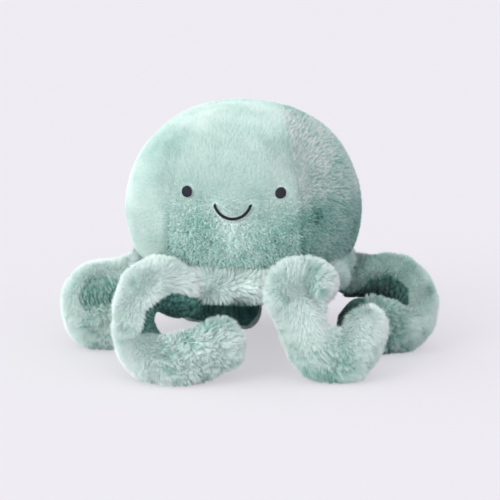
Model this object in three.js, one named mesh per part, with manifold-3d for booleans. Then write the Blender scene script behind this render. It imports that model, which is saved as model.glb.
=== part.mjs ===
import * as THREE from 'three';
import { mergeVertices } from 'three/addons/utils/BufferGeometryUtils.js';
import Module from 'manifold-3d';

// A stuffed toy: a round plush head on a fuzzy skirt with six curled arms that stand on the table.
// Millimetres, +Z up. The face looks along -Y, and the arms rest on the plane z = 0.

// Cloth and clearances
const CLOTH = 2.5; // plush with the foot of its pile
const SEAM_GAP = 0.3; // between pieces that are sewn or packed together
const SOCKET_GAP = 0.8; // round the root of an arm, where it turns in the skirt
const FLOOR_CUT = 0.5; // depth of the flat that an arm's weight presses into its plush

// Head
const HEAD_WIDTH = 173;
const HEAD_TOP = 186; // height of the crown
const HEAD_GIRTH_HEIGHT = 107; // height of the widest girth
const HEM_WIDTH = 148; // where the head is sewn to the skirt
const HEM_HEIGHT = 74;
const CROWN_FULLNESS = 2.12; // 2 is an ellipse, and more is a flatter crown
const HEAD_TURN = -5; // degrees, so that the face looks a little to the left
const PANEL_HEM_WIDTH = 97; // front and back panels, at the hem
const PANEL_CROWN_WIDTH = 52; // front and back panels, where they meet on the crown

// Face
const EYE_SPACING = 66;
const EYE_HEIGHT = 131.5;
const EYE_SIZE = 8;
const SMILE_RADIUS = 13.2;
const SMILE_HEIGHT = 114.4; // height of its lowest point
const SMILE_HALF_ANGLE = 74; // degrees
const THREAD = 2; // width of the stitched smile
const STITCH_RISE = 1.2; // height of the embroidery over the plush

// Skirt
const SKIRT_BULGE = 6; // how far the skirt stands out past the hem
const SKIRT_DEPTH = 24; // from the hem down to the base cloth
const BASE_WIDTH = 128; // base cloth that closes the skirt from below

// Arms: width across the seams and thickness at the root, where the arm comes down, and at the end.
// The width of an end is given for each arm.
const ROOT_WIDTH = 44;
const ROOT_THICKNESS = 26;
const DROP_WIDTH = 33;
const DROP_THICKNESS = 22;
const END_THICKNESS = 25;
const HEM_TO_ARM = 5; // skirt left between the hem and the top of an arm's root
const ARM_LIFT = 15; // degrees that an arm lifts in its socket

// Each arm leaves the skirt at its bearing, in degrees from +X, and arches up by about arch. roll, in
// degrees, turns its underside to the front between root and drop. Its places are given from its root:
// drop is where it comes down, with its height over the table, lie is where it lies on the table, and
// end is the middle of its rounded end, with its rise over the lying height. lean is how far it moves
// sideways for each millimetre that it comes down at the drop. heading is the way that the end points,
// endWidth is the end's width across the seams, and the underside faces curl, a point inside the curl.
const ARMS = [
  {
    name: 'front_left',
    bearing: -125,
    arch: 14,
    roll: 0,
    drop: [-32, -21, 40],
    lean: [0, 0],
    lie: [-9, -37],
    end: [32, -34, 12],
    heading: [1, 0.1, 0.25],
    endWidth: 35,
    curl: [6, -4, -36],
  },
  {
    name: 'front_right',
    bearing: -62,
    arch: 13,
    roll: 0,
    drop: [4.4, -26, 42],
    lean: [0.35, 0],
    lie: [30, -26],
    end: [48.4, -20, 24],
    heading: [0.1, 0.1, 1],
    endWidth: 26,
    curl: [20, 2, -34],
  },
  {
    name: 'right',
    bearing: 0,
    arch: -2,
    roll: -40,
    drop: [51, -15, 35],
    lean: [0, 0],
    lie: [32, -21],
    end: [2, -22, 2],
    heading: [-1, 0.1, 0.25],
    endWidth: 35,
    curl: [30, -12, -34],
  },
  {
    name: 'back_right',
    bearing: 60,
    arch: 8,
    roll: 0,
    drop: [7, 25, 40],
    lean: [0, 0],
    lie: [8, 5],
    end: [4, -20, 2],
    heading: [-0.1, -1, 0.1],
    endWidth: 35,
    curl: [4, -5, -26],
  },
  {
    name: 'back_left',
    bearing: 120,
    arch: 8,
    roll: 0,
    drop: [-14, 25, 40],
    lean: [0, 0],
    lie: [6, 3],
    end: [41, -21, 2],
    heading: [1, -0.5, 0.1],
    endWidth: 35,
    curl: [18, -39, -34],
  },
  {
    name: 'left',
    bearing: 180,
    arch: -7,
    roll: 40,
    drop: [-43.5, -5, 33],
    lean: [0, 0],
    lie: [-27, -10],
    end: [-4, -9, 2],
    heading: [1, 0.1, 0.25],
    endWidth: 35,
    curl: [-20, 0, -34],
  },
];

// Fineness of the curved surfaces
const SIDES = 24; // round the head and the skirt
const CROWN_STEPS = 6; // from the girth to the crown
const JOWL_STEPS = 3; // from the hem to the girth
const SKIRT_STEPS = 2; // from the middle of the skirt to its top or bottom
const SOCKET_SIDES = 10;
const HALF_SECTION_STEPS = 4; // round one half of an arm
const CURVE_STEPS = 3; // along each of an arm's curves
const END_ANGLES = [40, 90]; // degrees, rings of a rounded end

const UP = new THREE.Vector3(0, 0, 1);
const DOWN = new THREE.Vector3(0, 0, -1);
const radians = THREE.MathUtils.degToRad;
const wasm = await Module();
wasm.setup();

// Colours of the plush, its darker underside, the stuffing and the embroidery
const plush = new THREE.MeshStandardMaterial({ color: 0xb7dad2, roughness: 0.95, metalness: 0 });
const undersideCloth = new THREE.MeshStandardMaterial({ color: 0x6fa89f, roughness: 0.9, metalness: 0 });
const fibrefill = new THREE.MeshStandardMaterial({ color: 0xf3f1ea, roughness: 1, metalness: 0 });
const embroidery = new THREE.MeshStandardMaterial({ color: 0x24243a, roughness: 0.6, metalness: 0 });

// A closed skin as a solid that can be cut: points that coincide are one, and faces without area go
function toSolid(geometry) {
  const bare = new THREE.BufferGeometry();
  bare.setAttribute('position', geometry.getAttribute('position'));
  bare.setIndex(geometry.index);
  const merged = mergeVertices(bare, 1e-4);
  const corners = [];
  for (let i = 0; i < merged.index.count; i += 3) {
    const [a, b, c] = [0, 1, 2].map((k) => merged.index.getX(i + k));
    if (a !== b && b !== c && c !== a) corners.push(a, b, c);
  }
  const mesh = new wasm.Mesh({
    numProp: 3,
    vertProperties: new Float32Array(merged.getAttribute('position').array),
    triVerts: new Uint32Array(corners),
  });
  return new wasm.Manifold(mesh);
}

function toGeometry(solid) {
  const { vertProperties, triVerts } = solid.getMesh();
  const geometry = new THREE.BufferGeometry();
  geometry.setAttribute('position', new THREE.BufferAttribute(vertProperties, 3));
  geometry.setIndex(new THREE.BufferAttribute(triVerts, 1));
  geometry.computeVertexNormals();
  return geometry;
}

function piece(parent, name, solid, material) {
  const mesh = new THREE.Mesh(toGeometry(solid), material);
  mesh.name = name;
  parent.add(mesh);
}

// A solid of revolution about Z, from its [radius, height] profile, lowest point first
function turned(profile) {
  const points = profile.map(([radius, height]) => new THREE.Vector2(radius, height));
  return toSolid(new THREE.LatheGeometry(points, SIDES).rotateX(Math.PI / 2));
}

// A flat outline in X and Z, made into a block that reaches from the middle to the front or through all
function frontBlock(shape, nearest, furthest) {
  const options = { depth: furthest - nearest, bevelEnabled: false, curveSegments: 8 };
  return toSolid(new THREE.ExtrudeGeometry(shape, options).rotateX(Math.PI / 2).translate(0, -nearest, 0));
}

function block(low, high) {
  const size = high.map((value, axis) => value - low[axis]);
  const middle = high.map((value, axis) => (value + low[axis]) / 2);
  return toSolid(new THREE.BoxGeometry(...size).translate(...middle));
}

// Head

// The head's form, drawn in by inset. Its flat bottom lies at floor.
function headForm(inset, floor) {
  const girth = HEAD_WIDTH / 2 - inset;
  const hem = HEM_WIDTH / 2 - inset;
  const profile = [[0, floor], [hem, floor]];
  for (let step = 0; step < JOWL_STEPS; step++) {
    const angle = radians(90 - (90 * step) / JOWL_STEPS);
    const drop = (HEAD_GIRTH_HEIGHT - HEM_HEIGHT) * Math.sin(angle);
    const height = HEAD_GIRTH_HEIGHT - drop;
    if (height > floor) profile.push([hem + (girth - hem) * Math.cos(angle), height]);
  }
  const rise = HEAD_TOP - inset - HEAD_GIRTH_HEIGHT;
  const power = 2 / CROWN_FULLNESS;
  for (let step = 0; step < CROWN_STEPS; step++) {
    const angle = radians((90 * step) / CROWN_STEPS);
    profile.push([girth * Math.cos(angle) ** power, HEAD_GIRTH_HEIGHT + rise * Math.sin(angle) ** power]);
  }
  profile.push([0, HEAD_TOP - inset]);
  return turned(profile);
}

// The outline of the front panel, which narrows from the girth to the crown
function panelOutline(margin) {
  const hem = PANEL_HEM_WIDTH / 2 + margin;
  const crown = PANEL_CROWN_WIDTH / 2 + margin;
  const middle = (HEAD_GIRTH_HEIGHT + HEAD_TOP) / 2;
  const shape = new THREE.Shape();
  shape.moveTo(-hem, HEM_HEIGHT - CLOTH);
  shape.lineTo(hem, HEM_HEIGHT - CLOTH);
  shape.lineTo(hem, HEAD_GIRTH_HEIGHT);
  shape.quadraticCurveTo(hem, middle, crown, HEAD_TOP + CLOTH);
  shape.lineTo(-crown, HEAD_TOP + CLOTH);
  shape.quadraticCurveTo(-hem, middle, -hem, HEAD_GIRTH_HEIGHT);
  shape.closePath();
  return shape;
}

function smileOutline() {
  const middle = -Math.PI / 2;
  const half = radians(SMILE_HALF_ANGLE);
  const shape = new THREE.Shape();
  const centre = SMILE_HEIGHT + SMILE_RADIUS;
  shape.absarc(0, centre, SMILE_RADIUS + THREAD / 2, middle - half, middle + half, false);
  shape.absarc(0, centre, SMILE_RADIUS - THREAD / 2, middle + half, middle - half, true);
  shape.closePath();
  return shape;
}

function buildHead(toy) {
  const head = new THREE.Group();
  head.rotation.z = radians(HEAD_TURN);
  toy.add(head);
  const reach = HEAD_WIDTH;
  const skin = headForm(0, HEM_HEIGHT).subtract(headForm(CLOTH, HEM_HEIGHT - CLOTH));

  const front = skin.intersect(frontBlock(panelOutline(0), SEAM_GAP / 2, reach));
  piece(head, 'head_front_panel', front, plush);
  const back = skin.intersect(frontBlock(panelOutline(0), -reach, -SEAM_GAP / 2));
  piece(head, 'head_back_panel', back, plush);
  const sides = skin.subtract(frontBlock(panelOutline(SEAM_GAP), -reach, reach));
  const leftHalf = block([-reach, -reach, 0], [0, reach, HEAD_TOP + CLOTH]);
  piece(head, 'head_left_panel', sides.intersect(leftHalf), plush);
  piece(head, 'head_right_panel', sides.subtract(leftHalf), plush);
  const inset = CLOTH + SEAM_GAP;
  piece(head, 'head_stuffing', headForm(inset, HEM_HEIGHT), fibrefill);

  // The embroidery lies on the plush of the front panel
  const lift = SEAM_GAP + STITCH_RISE;
  const stitches = headForm(-lift, HEM_HEIGHT).subtract(headForm(-SEAM_GAP, HEM_HEIGHT - CLOTH));
  for (const [name, side] of [['left_eye', -1], ['right_eye', 1]]) {
    const across = (side * EYE_SPACING) / 2;
    const round = new THREE.Shape().absarc(across, EYE_HEIGHT, EYE_SIZE / 2, 0, 2 * Math.PI);
    piece(head, name, stitches.intersect(frontBlock(round, 0, reach)), embroidery);
  }
  piece(head, 'smile', stitches.intersect(frontBlock(smileOutline(), 0, reach)), embroidery);
}

// Skirt

const skirtTop = HEM_HEIGHT - SEAM_GAP;
const skirtBottom = HEM_HEIGHT - SKIRT_DEPTH;
const skirtRadius = HEM_WIDTH / 2 + SKIRT_BULGE;
const baseEdge = BASE_WIDTH / 2 + SEAM_GAP + CLOTH;
const rootHeight = HEM_HEIGHT - HEM_TO_ARM - ROOT_THICKNESS / 2;

// The skirt's form, drawn in by inset at its sides, between two heights
function skirtForm(inset, low, high) {
  const middle = (skirtBottom + skirtTop) / 2;
  const half = (skirtTop - skirtBottom) / 2;
  const wall = (height) => {
    const level = THREE.MathUtils.clamp((height - middle) / half, -1, 1);
    const drawnIn = level > 0 ? SKIRT_BULGE : skirtRadius - baseEdge;
    return [skirtRadius - inset - drawnIn * (1 - Math.sqrt(1 - level * level)), height];
  };
  const profile = [[0, low], wall(low)];
  for (let step = 1 - SKIRT_STEPS; step < SKIRT_STEPS; step++) {
    const height = middle + half * Math.sin(radians((90 * step) / SKIRT_STEPS));
    if (height > low && height < high) profile.push(wall(height));
  }
  profile.push(wall(high), [0, high]);
  return turned(profile);
}

function buildSkirt(toy, sockets) {
  const base = turned([
    [0, skirtBottom],
    [BASE_WIDTH / 2, skirtBottom],
    [BASE_WIDTH / 2, skirtBottom + CLOTH],
    [0, skirtBottom + CLOTH],
  ]);
  const baseHole = turned([
    [0, skirtBottom - CLOTH],
    [BASE_WIDTH / 2 + SEAM_GAP, skirtBottom - CLOTH],
    [BASE_WIDTH / 2 + SEAM_GAP, skirtTop],
    [0, skirtTop],
  ]);
  const inside = skirtForm(CLOTH, skirtBottom + CLOTH, skirtTop + CLOTH);
  const cover = skirtForm(0, skirtBottom, skirtTop).subtract(inside).subtract(baseHole);
  const stuffing = skirtForm(CLOTH + SEAM_GAP, skirtBottom + CLOTH + SEAM_GAP, skirtTop);
  piece(toy, 'skirt_cover', cover.subtract(sockets), plush);
  piece(toy, 'skirt_base', base.subtract(sockets), undersideCloth);
  piece(toy, 'skirt_stuffing', stuffing.subtract(sockets), fibrefill);
}

// Arms

// Joins like-numbered points of successive rings into a closed skin, with both ends capped. Each face
// folds along its shorter diagonal, so that skins which lie on each other fold alike.
function loft(rings) {
  const count = rings[0].length;
  const points = rings.flat();
  const corners = [];
  for (let i = 0; i + 1 < rings.length; i++) {
    for (let j = 0; j < count; j++) {
      const [here, next] = [i * count + j, (i + 1) * count + j];
      const step = j + 1 < count ? 1 : 1 - count;
      const [hereAfter, nextAfter] = [here + step, next + step];
      const rising = points[here].distanceTo(points[nextAfter]);
      const falling = points[hereAfter].distanceTo(points[next]);
      if (rising < falling) corners.push(here, nextAfter, hereAfter, here, next, nextAfter);
      else corners.push(here, next, hereAfter, hereAfter, next, nextAfter);
    }
  }
  const last = (rings.length - 1) * count;
  for (let j = 0; j + 1 < count / 2; j++) {
    const [a, b, c, d] = [j, j + 1, count - 2 - j, count - 1 - j];
    corners.push(a, b, c, a, c, d);
    corners.push(last + a, last + c, last + b, last + a, last + d, last + c);
  }
  const geometry = new THREE.BufferGeometry();
  const positions = points.flatMap((point) => point.toArray());
  geometry.setAttribute('position', new THREE.Float32BufferAttribute(positions, 3));
  geometry.setIndex(corners);
  return toSolid(geometry);
}

// Points of an arm's section between two angles: width lies along side, and thickness along up
function arc(station, inset, from, to, shift) {
  const points = [];
  const steps = Math.round(Math.abs(to - from) / (180 / HALF_SECTION_STEPS));
  const middle = station.centre.clone().addScaledVector(station.along, station.reach * station.sink(inset));
  for (let step = 0; step <= steps; step++) {
    const angle = radians(from + ((to - from) * step) / steps);
    const across = (station.width / 2 - inset) * station.taper * Math.cos(angle);
    const high = (station.thickness / 2 - inset) * station.taper * Math.sin(angle) + shift;
    points.push(middle.clone().addScaledVector(station.side, across).addScaledVector(station.up, high));
  }
  return points;
}

// Half of an arm's skin: the cover takes the outside of the curl, and the underside its inside
function strip(stations, isCover) {
  const [from, to] = isCover ? [0, 180] : [180, 360];
  const shift = (isCover ? 1 : -1) * (SEAM_GAP / 2);
  const rings = stations.map((station) => [
    ...arc(station, 0, from, to, shift),
    ...arc(station, CLOTH, to, from, shift),
  ]);
  return loft(rings);
}

function core(stations) {
  const rings = stations.map((station) => arc(station, CLOTH + SEAM_GAP, 0, 360, 0).slice(0, -1));
  return loft(rings);
}

// A place along an arm, with its axes. taper and reach shape a rounded end beyond it.
function makeStation(centre, along, up, width, thickness) {
  const level = up.clone().addScaledVector(along, -up.dot(along)).normalize();
  const side = along.clone().cross(level);
  return { centre, along, up: level, side, width, thickness, taper: 1, reach: 0, sink: () => 0 };
}

// Rings of a rounded end on a station, which reaches half its thickness along a direction
function roundedEnd(station, direction) {
  return END_ANGLES.map((angle) => ({
    ...station,
    taper: angle === 90 ? 0 : Math.cos(radians(angle)),
    reach: direction * Math.sin(radians(angle)),
    sink: (inset) => station.thickness / 2 - inset,
  }));
}

// The way that an arm runs where it comes down
function descent(arm) {
  return new THREE.Vector3(...arm.lean, -1);
}

// The stretch from the skirt to the drop, seen from the arm's root
function rootStations(arm, outward, drop) {
  const slope = Math.atan2(arm.arch, ROOT_THICKNESS);
  const handle = 0.55 * Math.hypot(drop.x, drop.y);
  const start = outward.clone().multiplyScalar(Math.cos(slope)).addScaledVector(UP, Math.sin(slope));
  const curve = new THREE.CubicBezierCurve3(
    new THREE.Vector3(),
    start.multiplyScalar(handle),
    drop.clone().addScaledVector(descent(arm), drop.z - arm.arch),
    drop,
  );
  const curl = new THREE.Vector3(...arm.curl);
  const stations = [];
  const steps = CURVE_STEPS + 1;
  for (let step = 0; step <= steps; step++) {
    const share = step / steps;
    const centre = curve.getPoint(share);
    const away = centre.clone().sub(curl).normalize();
    const along = curve.getTangent(share);
    const up = UP.clone().lerp(away, THREE.MathUtils.smoothstep(share, 0, 0.8));
    up.applyAxisAngle(along, radians(arm.roll) * Math.sin(Math.PI * share));
    const width = THREE.MathUtils.lerp(ROOT_WIDTH, DROP_WIDTH, share);
    const thickness = THREE.MathUtils.lerp(ROOT_THICKNESS, DROP_THICKNESS, share);
    stations.push(makeStation(centre, step < steps ? along : DOWN, up, width, thickness));
  }
  stations.at(-1).centre.addScaledVector(UP, SEAM_GAP / 2);
  return [...roundedEnd(stations[0], -1).reverse(), ...stations];
}

// The stretch from the drop to the rounded end, seen from the drop, which lies at a height
function tipStations(arm, drop, lying) {
  const floor = new THREE.Vector3(0, 0, lying - arm.drop[2]);
  const level = new THREE.Vector3(drop.x, drop.y, 0);
  const lie = new THREE.Vector3(...arm.lie, 0).sub(level).add(floor);
  const end = new THREE.Vector3(...arm.end).sub(level).add(floor);
  const heading = new THREE.Vector3(...arm.heading).normalize();
  const onward = new THREE.Vector3(end.x, end.y, 0).normalize();
  const bend = 0.55;
  const run = 0.36 * end.distanceTo(lie);
  const curves = [
    new THREE.CubicBezierCurve3(
      new THREE.Vector3(),
      descent(arm).multiplyScalar(-bend * lie.z),
      lie.clone().addScaledVector(onward, -bend * Math.hypot(lie.x, lie.y)),
      lie,
    ),
    new THREE.CubicBezierCurve3(
      lie,
      lie.clone().addScaledVector(onward, run),
      end.clone().addScaledVector(heading, -run),
      end,
    ),
  ];
  const curl = new THREE.Vector3(...arm.curl).sub(drop);
  const stations = [];
  curves.forEach((curve, part) => {
    for (let step = part; step <= CURVE_STEPS; step++) {
      const centre = curve.getPoint(step / CURVE_STEPS);
      const share = (part + step / CURVE_STEPS) / 2;
      const width = THREE.MathUtils.lerp(DROP_WIDTH, arm.endWidth, share);
      const thickness = THREE.MathUtils.lerp(DROP_THICKNESS, END_THICKNESS, share);
      const up = centre.clone().sub(curl).normalize();
      const along = share > 0 ? curve.getTangent(step / CURVE_STEPS) : DOWN;
      stations.push(makeStation(centre, along, up, width, thickness));
    }
  });
  stations[0].centre.addScaledVector(UP, -SEAM_GAP / 2);
  return [...stations, ...roundedEnd(stations.at(-1), 1)];
}

// Lowers the lying stretch until its plush is pressed flat by FLOOR_CUT
function settledTip(arm, drop) {
  let lying = arm.endWidth / 2;
  for (let round = 0; round < 6; round++) {
    const points = tipStations(arm, drop, lying).flatMap((station) => arc(station, 0, 0, 360, 0));
    const lowest = arm.drop[2] + Math.min(...points.map((point) => point.z));
    lying -= lowest + FLOOR_CUT;
  }
  return tipStations(arm, drop, lying);
}

// The hollow in the skirt in which an arm's root turns about the arm's side, up to its full lift
function socket(station, root) {
  const { side, along } = station;
  const wide = ROOT_WIDTH + 2 * SOCKET_GAP;
  const round = ROOT_THICKNESS / 2 + SOCKET_GAP;
  const place = new THREE.Matrix4().makeBasis(along, side, along.clone().cross(side)).setPosition(root);
  const seat = new THREE.CylinderGeometry(round, round, wide, SOCKET_SIDES);
  const slot = new THREE.BoxGeometry(ROOT_THICKNESS, wide, 2 * round).translate(ROOT_THICKNESS / 2, 0, 0);
  slot.rotateY(radians(ARM_LIFT));
  return toSolid(seat.applyMatrix4(place)).add(toSolid(slot.applyMatrix4(place)));
}

function buildArm(toy, arm) {
  const bearing = radians(arm.bearing);
  const outward = new THREE.Vector3(Math.cos(bearing), Math.sin(bearing), 0);
  const root = outward.clone().multiplyScalar(skirtRadius).setZ(rootHeight);
  const drop = new THREE.Vector3(...arm.drop).addScaledVector(UP, -rootHeight);
  const upper = new THREE.Group();
  upper.position.copy(root);
  toy.add(upper);
  const lower = new THREE.Group();
  lower.position.copy(drop);
  upper.add(lower);

  const rootPlaces = rootStations(arm, outward, drop);
  piece(upper, `${arm.name}_arm_cover`, strip(rootPlaces, true), plush);
  piece(upper, `${arm.name}_arm_underside`, strip(rootPlaces, false), undersideCloth);
  piece(upper, `${arm.name}_arm_stuffing`, core(rootPlaces), fibrefill);

  const tipPlaces = settledTip(arm, drop);
  const reach = HEAD_WIDTH;
  const table = block([-reach, -reach, -arm.drop[2] - reach], [reach, reach, -arm.drop[2]]);
  piece(lower, `${arm.name}_tip_cover`, strip(tipPlaces, true).subtract(table), plush);
  piece(lower, `${arm.name}_tip_underside`, strip(tipPlaces, false).subtract(table), undersideCloth);
  piece(lower, `${arm.name}_tip_stuffing`, core(tipPlaces), fibrefill);
  return socket(rootPlaces[END_ANGLES.length], root);
}

const toy = new THREE.Group();
buildHead(toy);
const sockets = ARMS.map((arm) => buildArm(toy, arm));
buildSkirt(toy, sockets.reduce((all, next) => all.add(next)));

// The origin lies on the table, under the middle of the toy's width and depth
const middle = new THREE.Box3().setFromObject(toy).getCenter(new THREE.Vector3());
toy.position.set(-middle.x, -middle.y, 0);

export default toy;
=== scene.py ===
import math
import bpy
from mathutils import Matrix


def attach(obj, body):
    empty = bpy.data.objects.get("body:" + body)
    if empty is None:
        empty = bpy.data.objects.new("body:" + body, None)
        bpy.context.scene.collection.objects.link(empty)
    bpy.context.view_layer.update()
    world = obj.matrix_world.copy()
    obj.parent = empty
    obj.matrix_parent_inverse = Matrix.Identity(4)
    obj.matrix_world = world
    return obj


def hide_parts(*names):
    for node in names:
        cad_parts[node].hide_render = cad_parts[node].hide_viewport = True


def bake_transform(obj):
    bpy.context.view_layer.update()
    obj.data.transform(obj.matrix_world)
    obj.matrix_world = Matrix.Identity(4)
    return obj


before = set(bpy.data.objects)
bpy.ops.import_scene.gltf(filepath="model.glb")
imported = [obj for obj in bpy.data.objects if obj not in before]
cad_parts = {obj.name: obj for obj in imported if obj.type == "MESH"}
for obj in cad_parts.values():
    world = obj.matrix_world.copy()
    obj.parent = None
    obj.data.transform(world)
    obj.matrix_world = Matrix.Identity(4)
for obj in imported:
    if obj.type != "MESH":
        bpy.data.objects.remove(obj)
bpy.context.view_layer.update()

from types import SimpleNamespace

import bmesh
import bpy
import numpy as np
from mathutils import Vector

# Head
# A ball of four plush panels, front, back, left and right, sewn edge to edge with the seams turned in,
# so that each seam lies in a shallow valley. It is stuffed tight with polyester fibre through the hem.
MM = 0.001  # lengths are in millimetres, but for the sizes of the pile, which its nodes take in metres
UP, BACKWARDS = np.array([0.0, 0.0, 1.0]), np.array([0.0, 1.0, 0.0])
HEAD_CENTRE = np.array([-3.816, 4.491, 0.0])
HEAD_TURN = math.radians(-5)
HEAD_WIDTH, HEAD_TOP, GIRTH_HEIGHT = 173.0, 186.0, 107.0
HEM_WIDTH, HEM_HEIGHT, HEM_EASE = 148.0, 74.0, 12.0
HEM_EDGE = ((14.0, 3.0), (5.0, 2.5))  # the turned-in edge under the hem: how far in, how far down
CROWN_FULLNESS = 2.12
PANEL_HEM_WIDTH, PANEL_CROWN_WIDTH = 97.0, 52.0
PANEL_BEARINGS = {"front": 0, "right": np.pi / 2, "back": np.pi, "left": -np.pi / 2}
CLOTH = 2.5
PILE_ROOM = 1.3  # the ground of the plush lies in by about half of its pile
SEAM_DEPTH, SEAM_SPREAD = 1.3, 2.2
SEAM_FADES, SEAM_LOSS = (112.0, 156.0), 0.85  # the valleys get shallower between these heights
STUFFING_LUMP, STUFFING_LUMP_SIZE = 0.7, 26.0
EYE_PLACES, EYE_HEIGHT, EYE_DIMPLE, EYE_DIMPLE_SPREAD = (-33.0, 33.0), 131.5, 1.5, 8.0
SMILE_RADIUS, SMILE_CENTRE, SMILE_HALF_ANGLE = 13.2, 127.6, math.radians(74)
SMILE_DIMPLE, SMILE_DIMPLE_SPREAD = 0.7, 4.0


def put_in_scene(name, data):
    made = bpy.data.objects.new(name, data)
    bpy.context.scene.collection.objects.link(made)
    return made


def new_piece(name, points, faces):
    """A smooth mesh from points in millimetres."""
    mesh = bpy.data.meshes.new(name)
    mesh.from_pydata((points * MM).tolist(), [], faces)
    mesh.shade_smooth()
    return put_in_scene(name, mesh)


def reworked(piece, change):
    """The piece after a change to its mesh, with all its faces turned outwards."""
    work = bmesh.new()
    work.from_mesh(piece.data)
    change(work)
    bmesh.ops.recalc_face_normals(work, faces=work.faces)
    work.to_mesh(piece.data)
    work.free()
    return piece


def note(piece, **layers):
    """Keeps a number or a direction for each point of the skin, for its colour and its pile."""
    for name, values in layers.items():
        vectors = values.ndim == 2
        layer = piece.data.attributes.new(name, "FLOAT_VECTOR" if vectors else "FLOAT", "POINT")
        layer.data.foreach_set("vector" if vectors else "value", values.astype(np.float32).ravel())


def even_comb(points):
    """Tufts that are as long as they are wide: they are laid out in the skin's own space."""
    axes = {f"comb_{axis}": np.eye(3)[k] + 0 * points for k, axis in enumerate("xyz")}
    return dict(comb=points * MM, **axes)


def grid_faces(rows, columns, closed=False):
    faces = []
    for i in range(rows - 1):
        for j in range(columns if closed else columns - 1):
            here, after = i * columns + j, i * columns + (j + 1) % columns
            faces.append((here, after, after + columns, here + columns))
    return faces


def lumps(points, size, seed, count=20):
    """A smooth field from about -1 to 1 whose hills are size millimetres across, from count waves."""
    draw = np.random.default_rng(seed)
    waves = draw.normal(size=(count, 3))
    finer = math.pi / size * draw.uniform(0.6, 1.4, (count, 1))
    waves *= finer / np.linalg.norm(waves, axis=1, keepdims=True)
    return np.clip(np.sin(points @ waves.T + draw.uniform(0, 6.28, count)).sum(1) / 6, -1, 1)


def fade(values, none, full):
    """A share that goes straight from 0 at none to 1 at full."""
    return np.clip((values - none) / (full - none), 0, 1)


def bell(distance, spread):
    """A share that is 1 at no distance and nearly 0 at twice the spread."""
    return np.exp(-((distance / spread) ** 2))


def head_outline():
    """Half of the head's outline, from under the hem to the crown: run along it, radius and height."""
    jowl = np.radians(np.linspace(90, 0, 60))
    crown = np.radians(np.linspace(0, 90, 160))[1:]
    girth, hem, power = HEAD_WIDTH / 2, HEM_WIDTH / 2, 2 / CROWN_FULLNESS
    low, rise = GIRTH_HEIGHT - HEM_HEIGHT, HEAD_TOP - GIRTH_HEIGHT
    edge_radius = [hem - inwards for inwards, _ in HEM_EDGE]
    edge_height = [HEM_HEIGHT - down for _, down in HEM_EDGE]
    radius = np.concatenate(
        [edge_radius, hem + (girth - hem) * np.cos(jowl), girth * np.cos(crown) ** power]
    )
    height = np.concatenate(
        [edge_height, GIRTH_HEIGHT - low * np.sin(jowl), GIRTH_HEIGHT + rise * np.sin(crown) ** power]
    )
    radius[-1] = 0
    run = np.concatenate([[0], np.cumsum(np.hypot(np.diff(radius), np.diff(height)))])
    return run, radius, height


def panel_half_width(height):
    """Half of the front or back panel's width, which narrows from the girth to the crown."""
    share = np.linspace(0, 1, 60)
    hem, crown = PANEL_HEM_WIDTH / 2, PANEL_CROWN_WIDTH / 2
    middle, top = (GIRTH_HEIGHT + HEAD_TOP) / 2, HEAD_TOP + CLOTH
    heights = (1 - share) ** 2 * GIRTH_HEIGHT + 2 * share * (1 - share) * middle + share**2 * top
    widths = (1 - share**2) * hem + share**2 * crown
    return np.interp(height, heights, widths)


OUTLINE_RUN, OUTLINE_RADIUS, OUTLINE_HEIGHT = head_outline()

# The side panels end in a point where the front and back panels meet on the crown, and go on under them
open_to_side = OUTLINE_RADIUS > panel_half_width(OUTLINE_HEIGHT)
SIDE_END = OUTLINE_RUN[np.nonzero(open_to_side)[0][-1]]
TUCK, TUCK_DEPTH = 2.6, 0.6


def smile_distance(x, z):
    """How far a place on the face is from the stitched smile, in millimetres."""
    angle = np.clip(np.arctan2(x, SMILE_CENTRE - z), -SMILE_HALF_ANGLE, SMILE_HALF_ANGLE)
    return np.hypot(x - SMILE_RADIUS * np.sin(angle), z - SMILE_CENTRE + SMILE_RADIUS * np.cos(angle))


def face_dimples(x, z):
    """How deep the stitches pull the stuffed face in."""
    from_eyes = [np.hypot(x - eye, z - EYE_HEIGHT) for eye in EYE_PLACES]
    eyes = sum(EYE_DIMPLE * bell(distance, EYE_DIMPLE_SPREAD) for distance in from_eyes)
    return eyes + SMILE_DIMPLE * bell(smile_distance(x, z), SMILE_DIMPLE_SPREAD)


def turn_head(vectors):
    c, s = math.cos(HEAD_TURN), math.sin(HEAD_TURN)
    return vectors @ np.array([[c, s, 0], [-s, c, 0], [0, 0, 1]])


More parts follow.
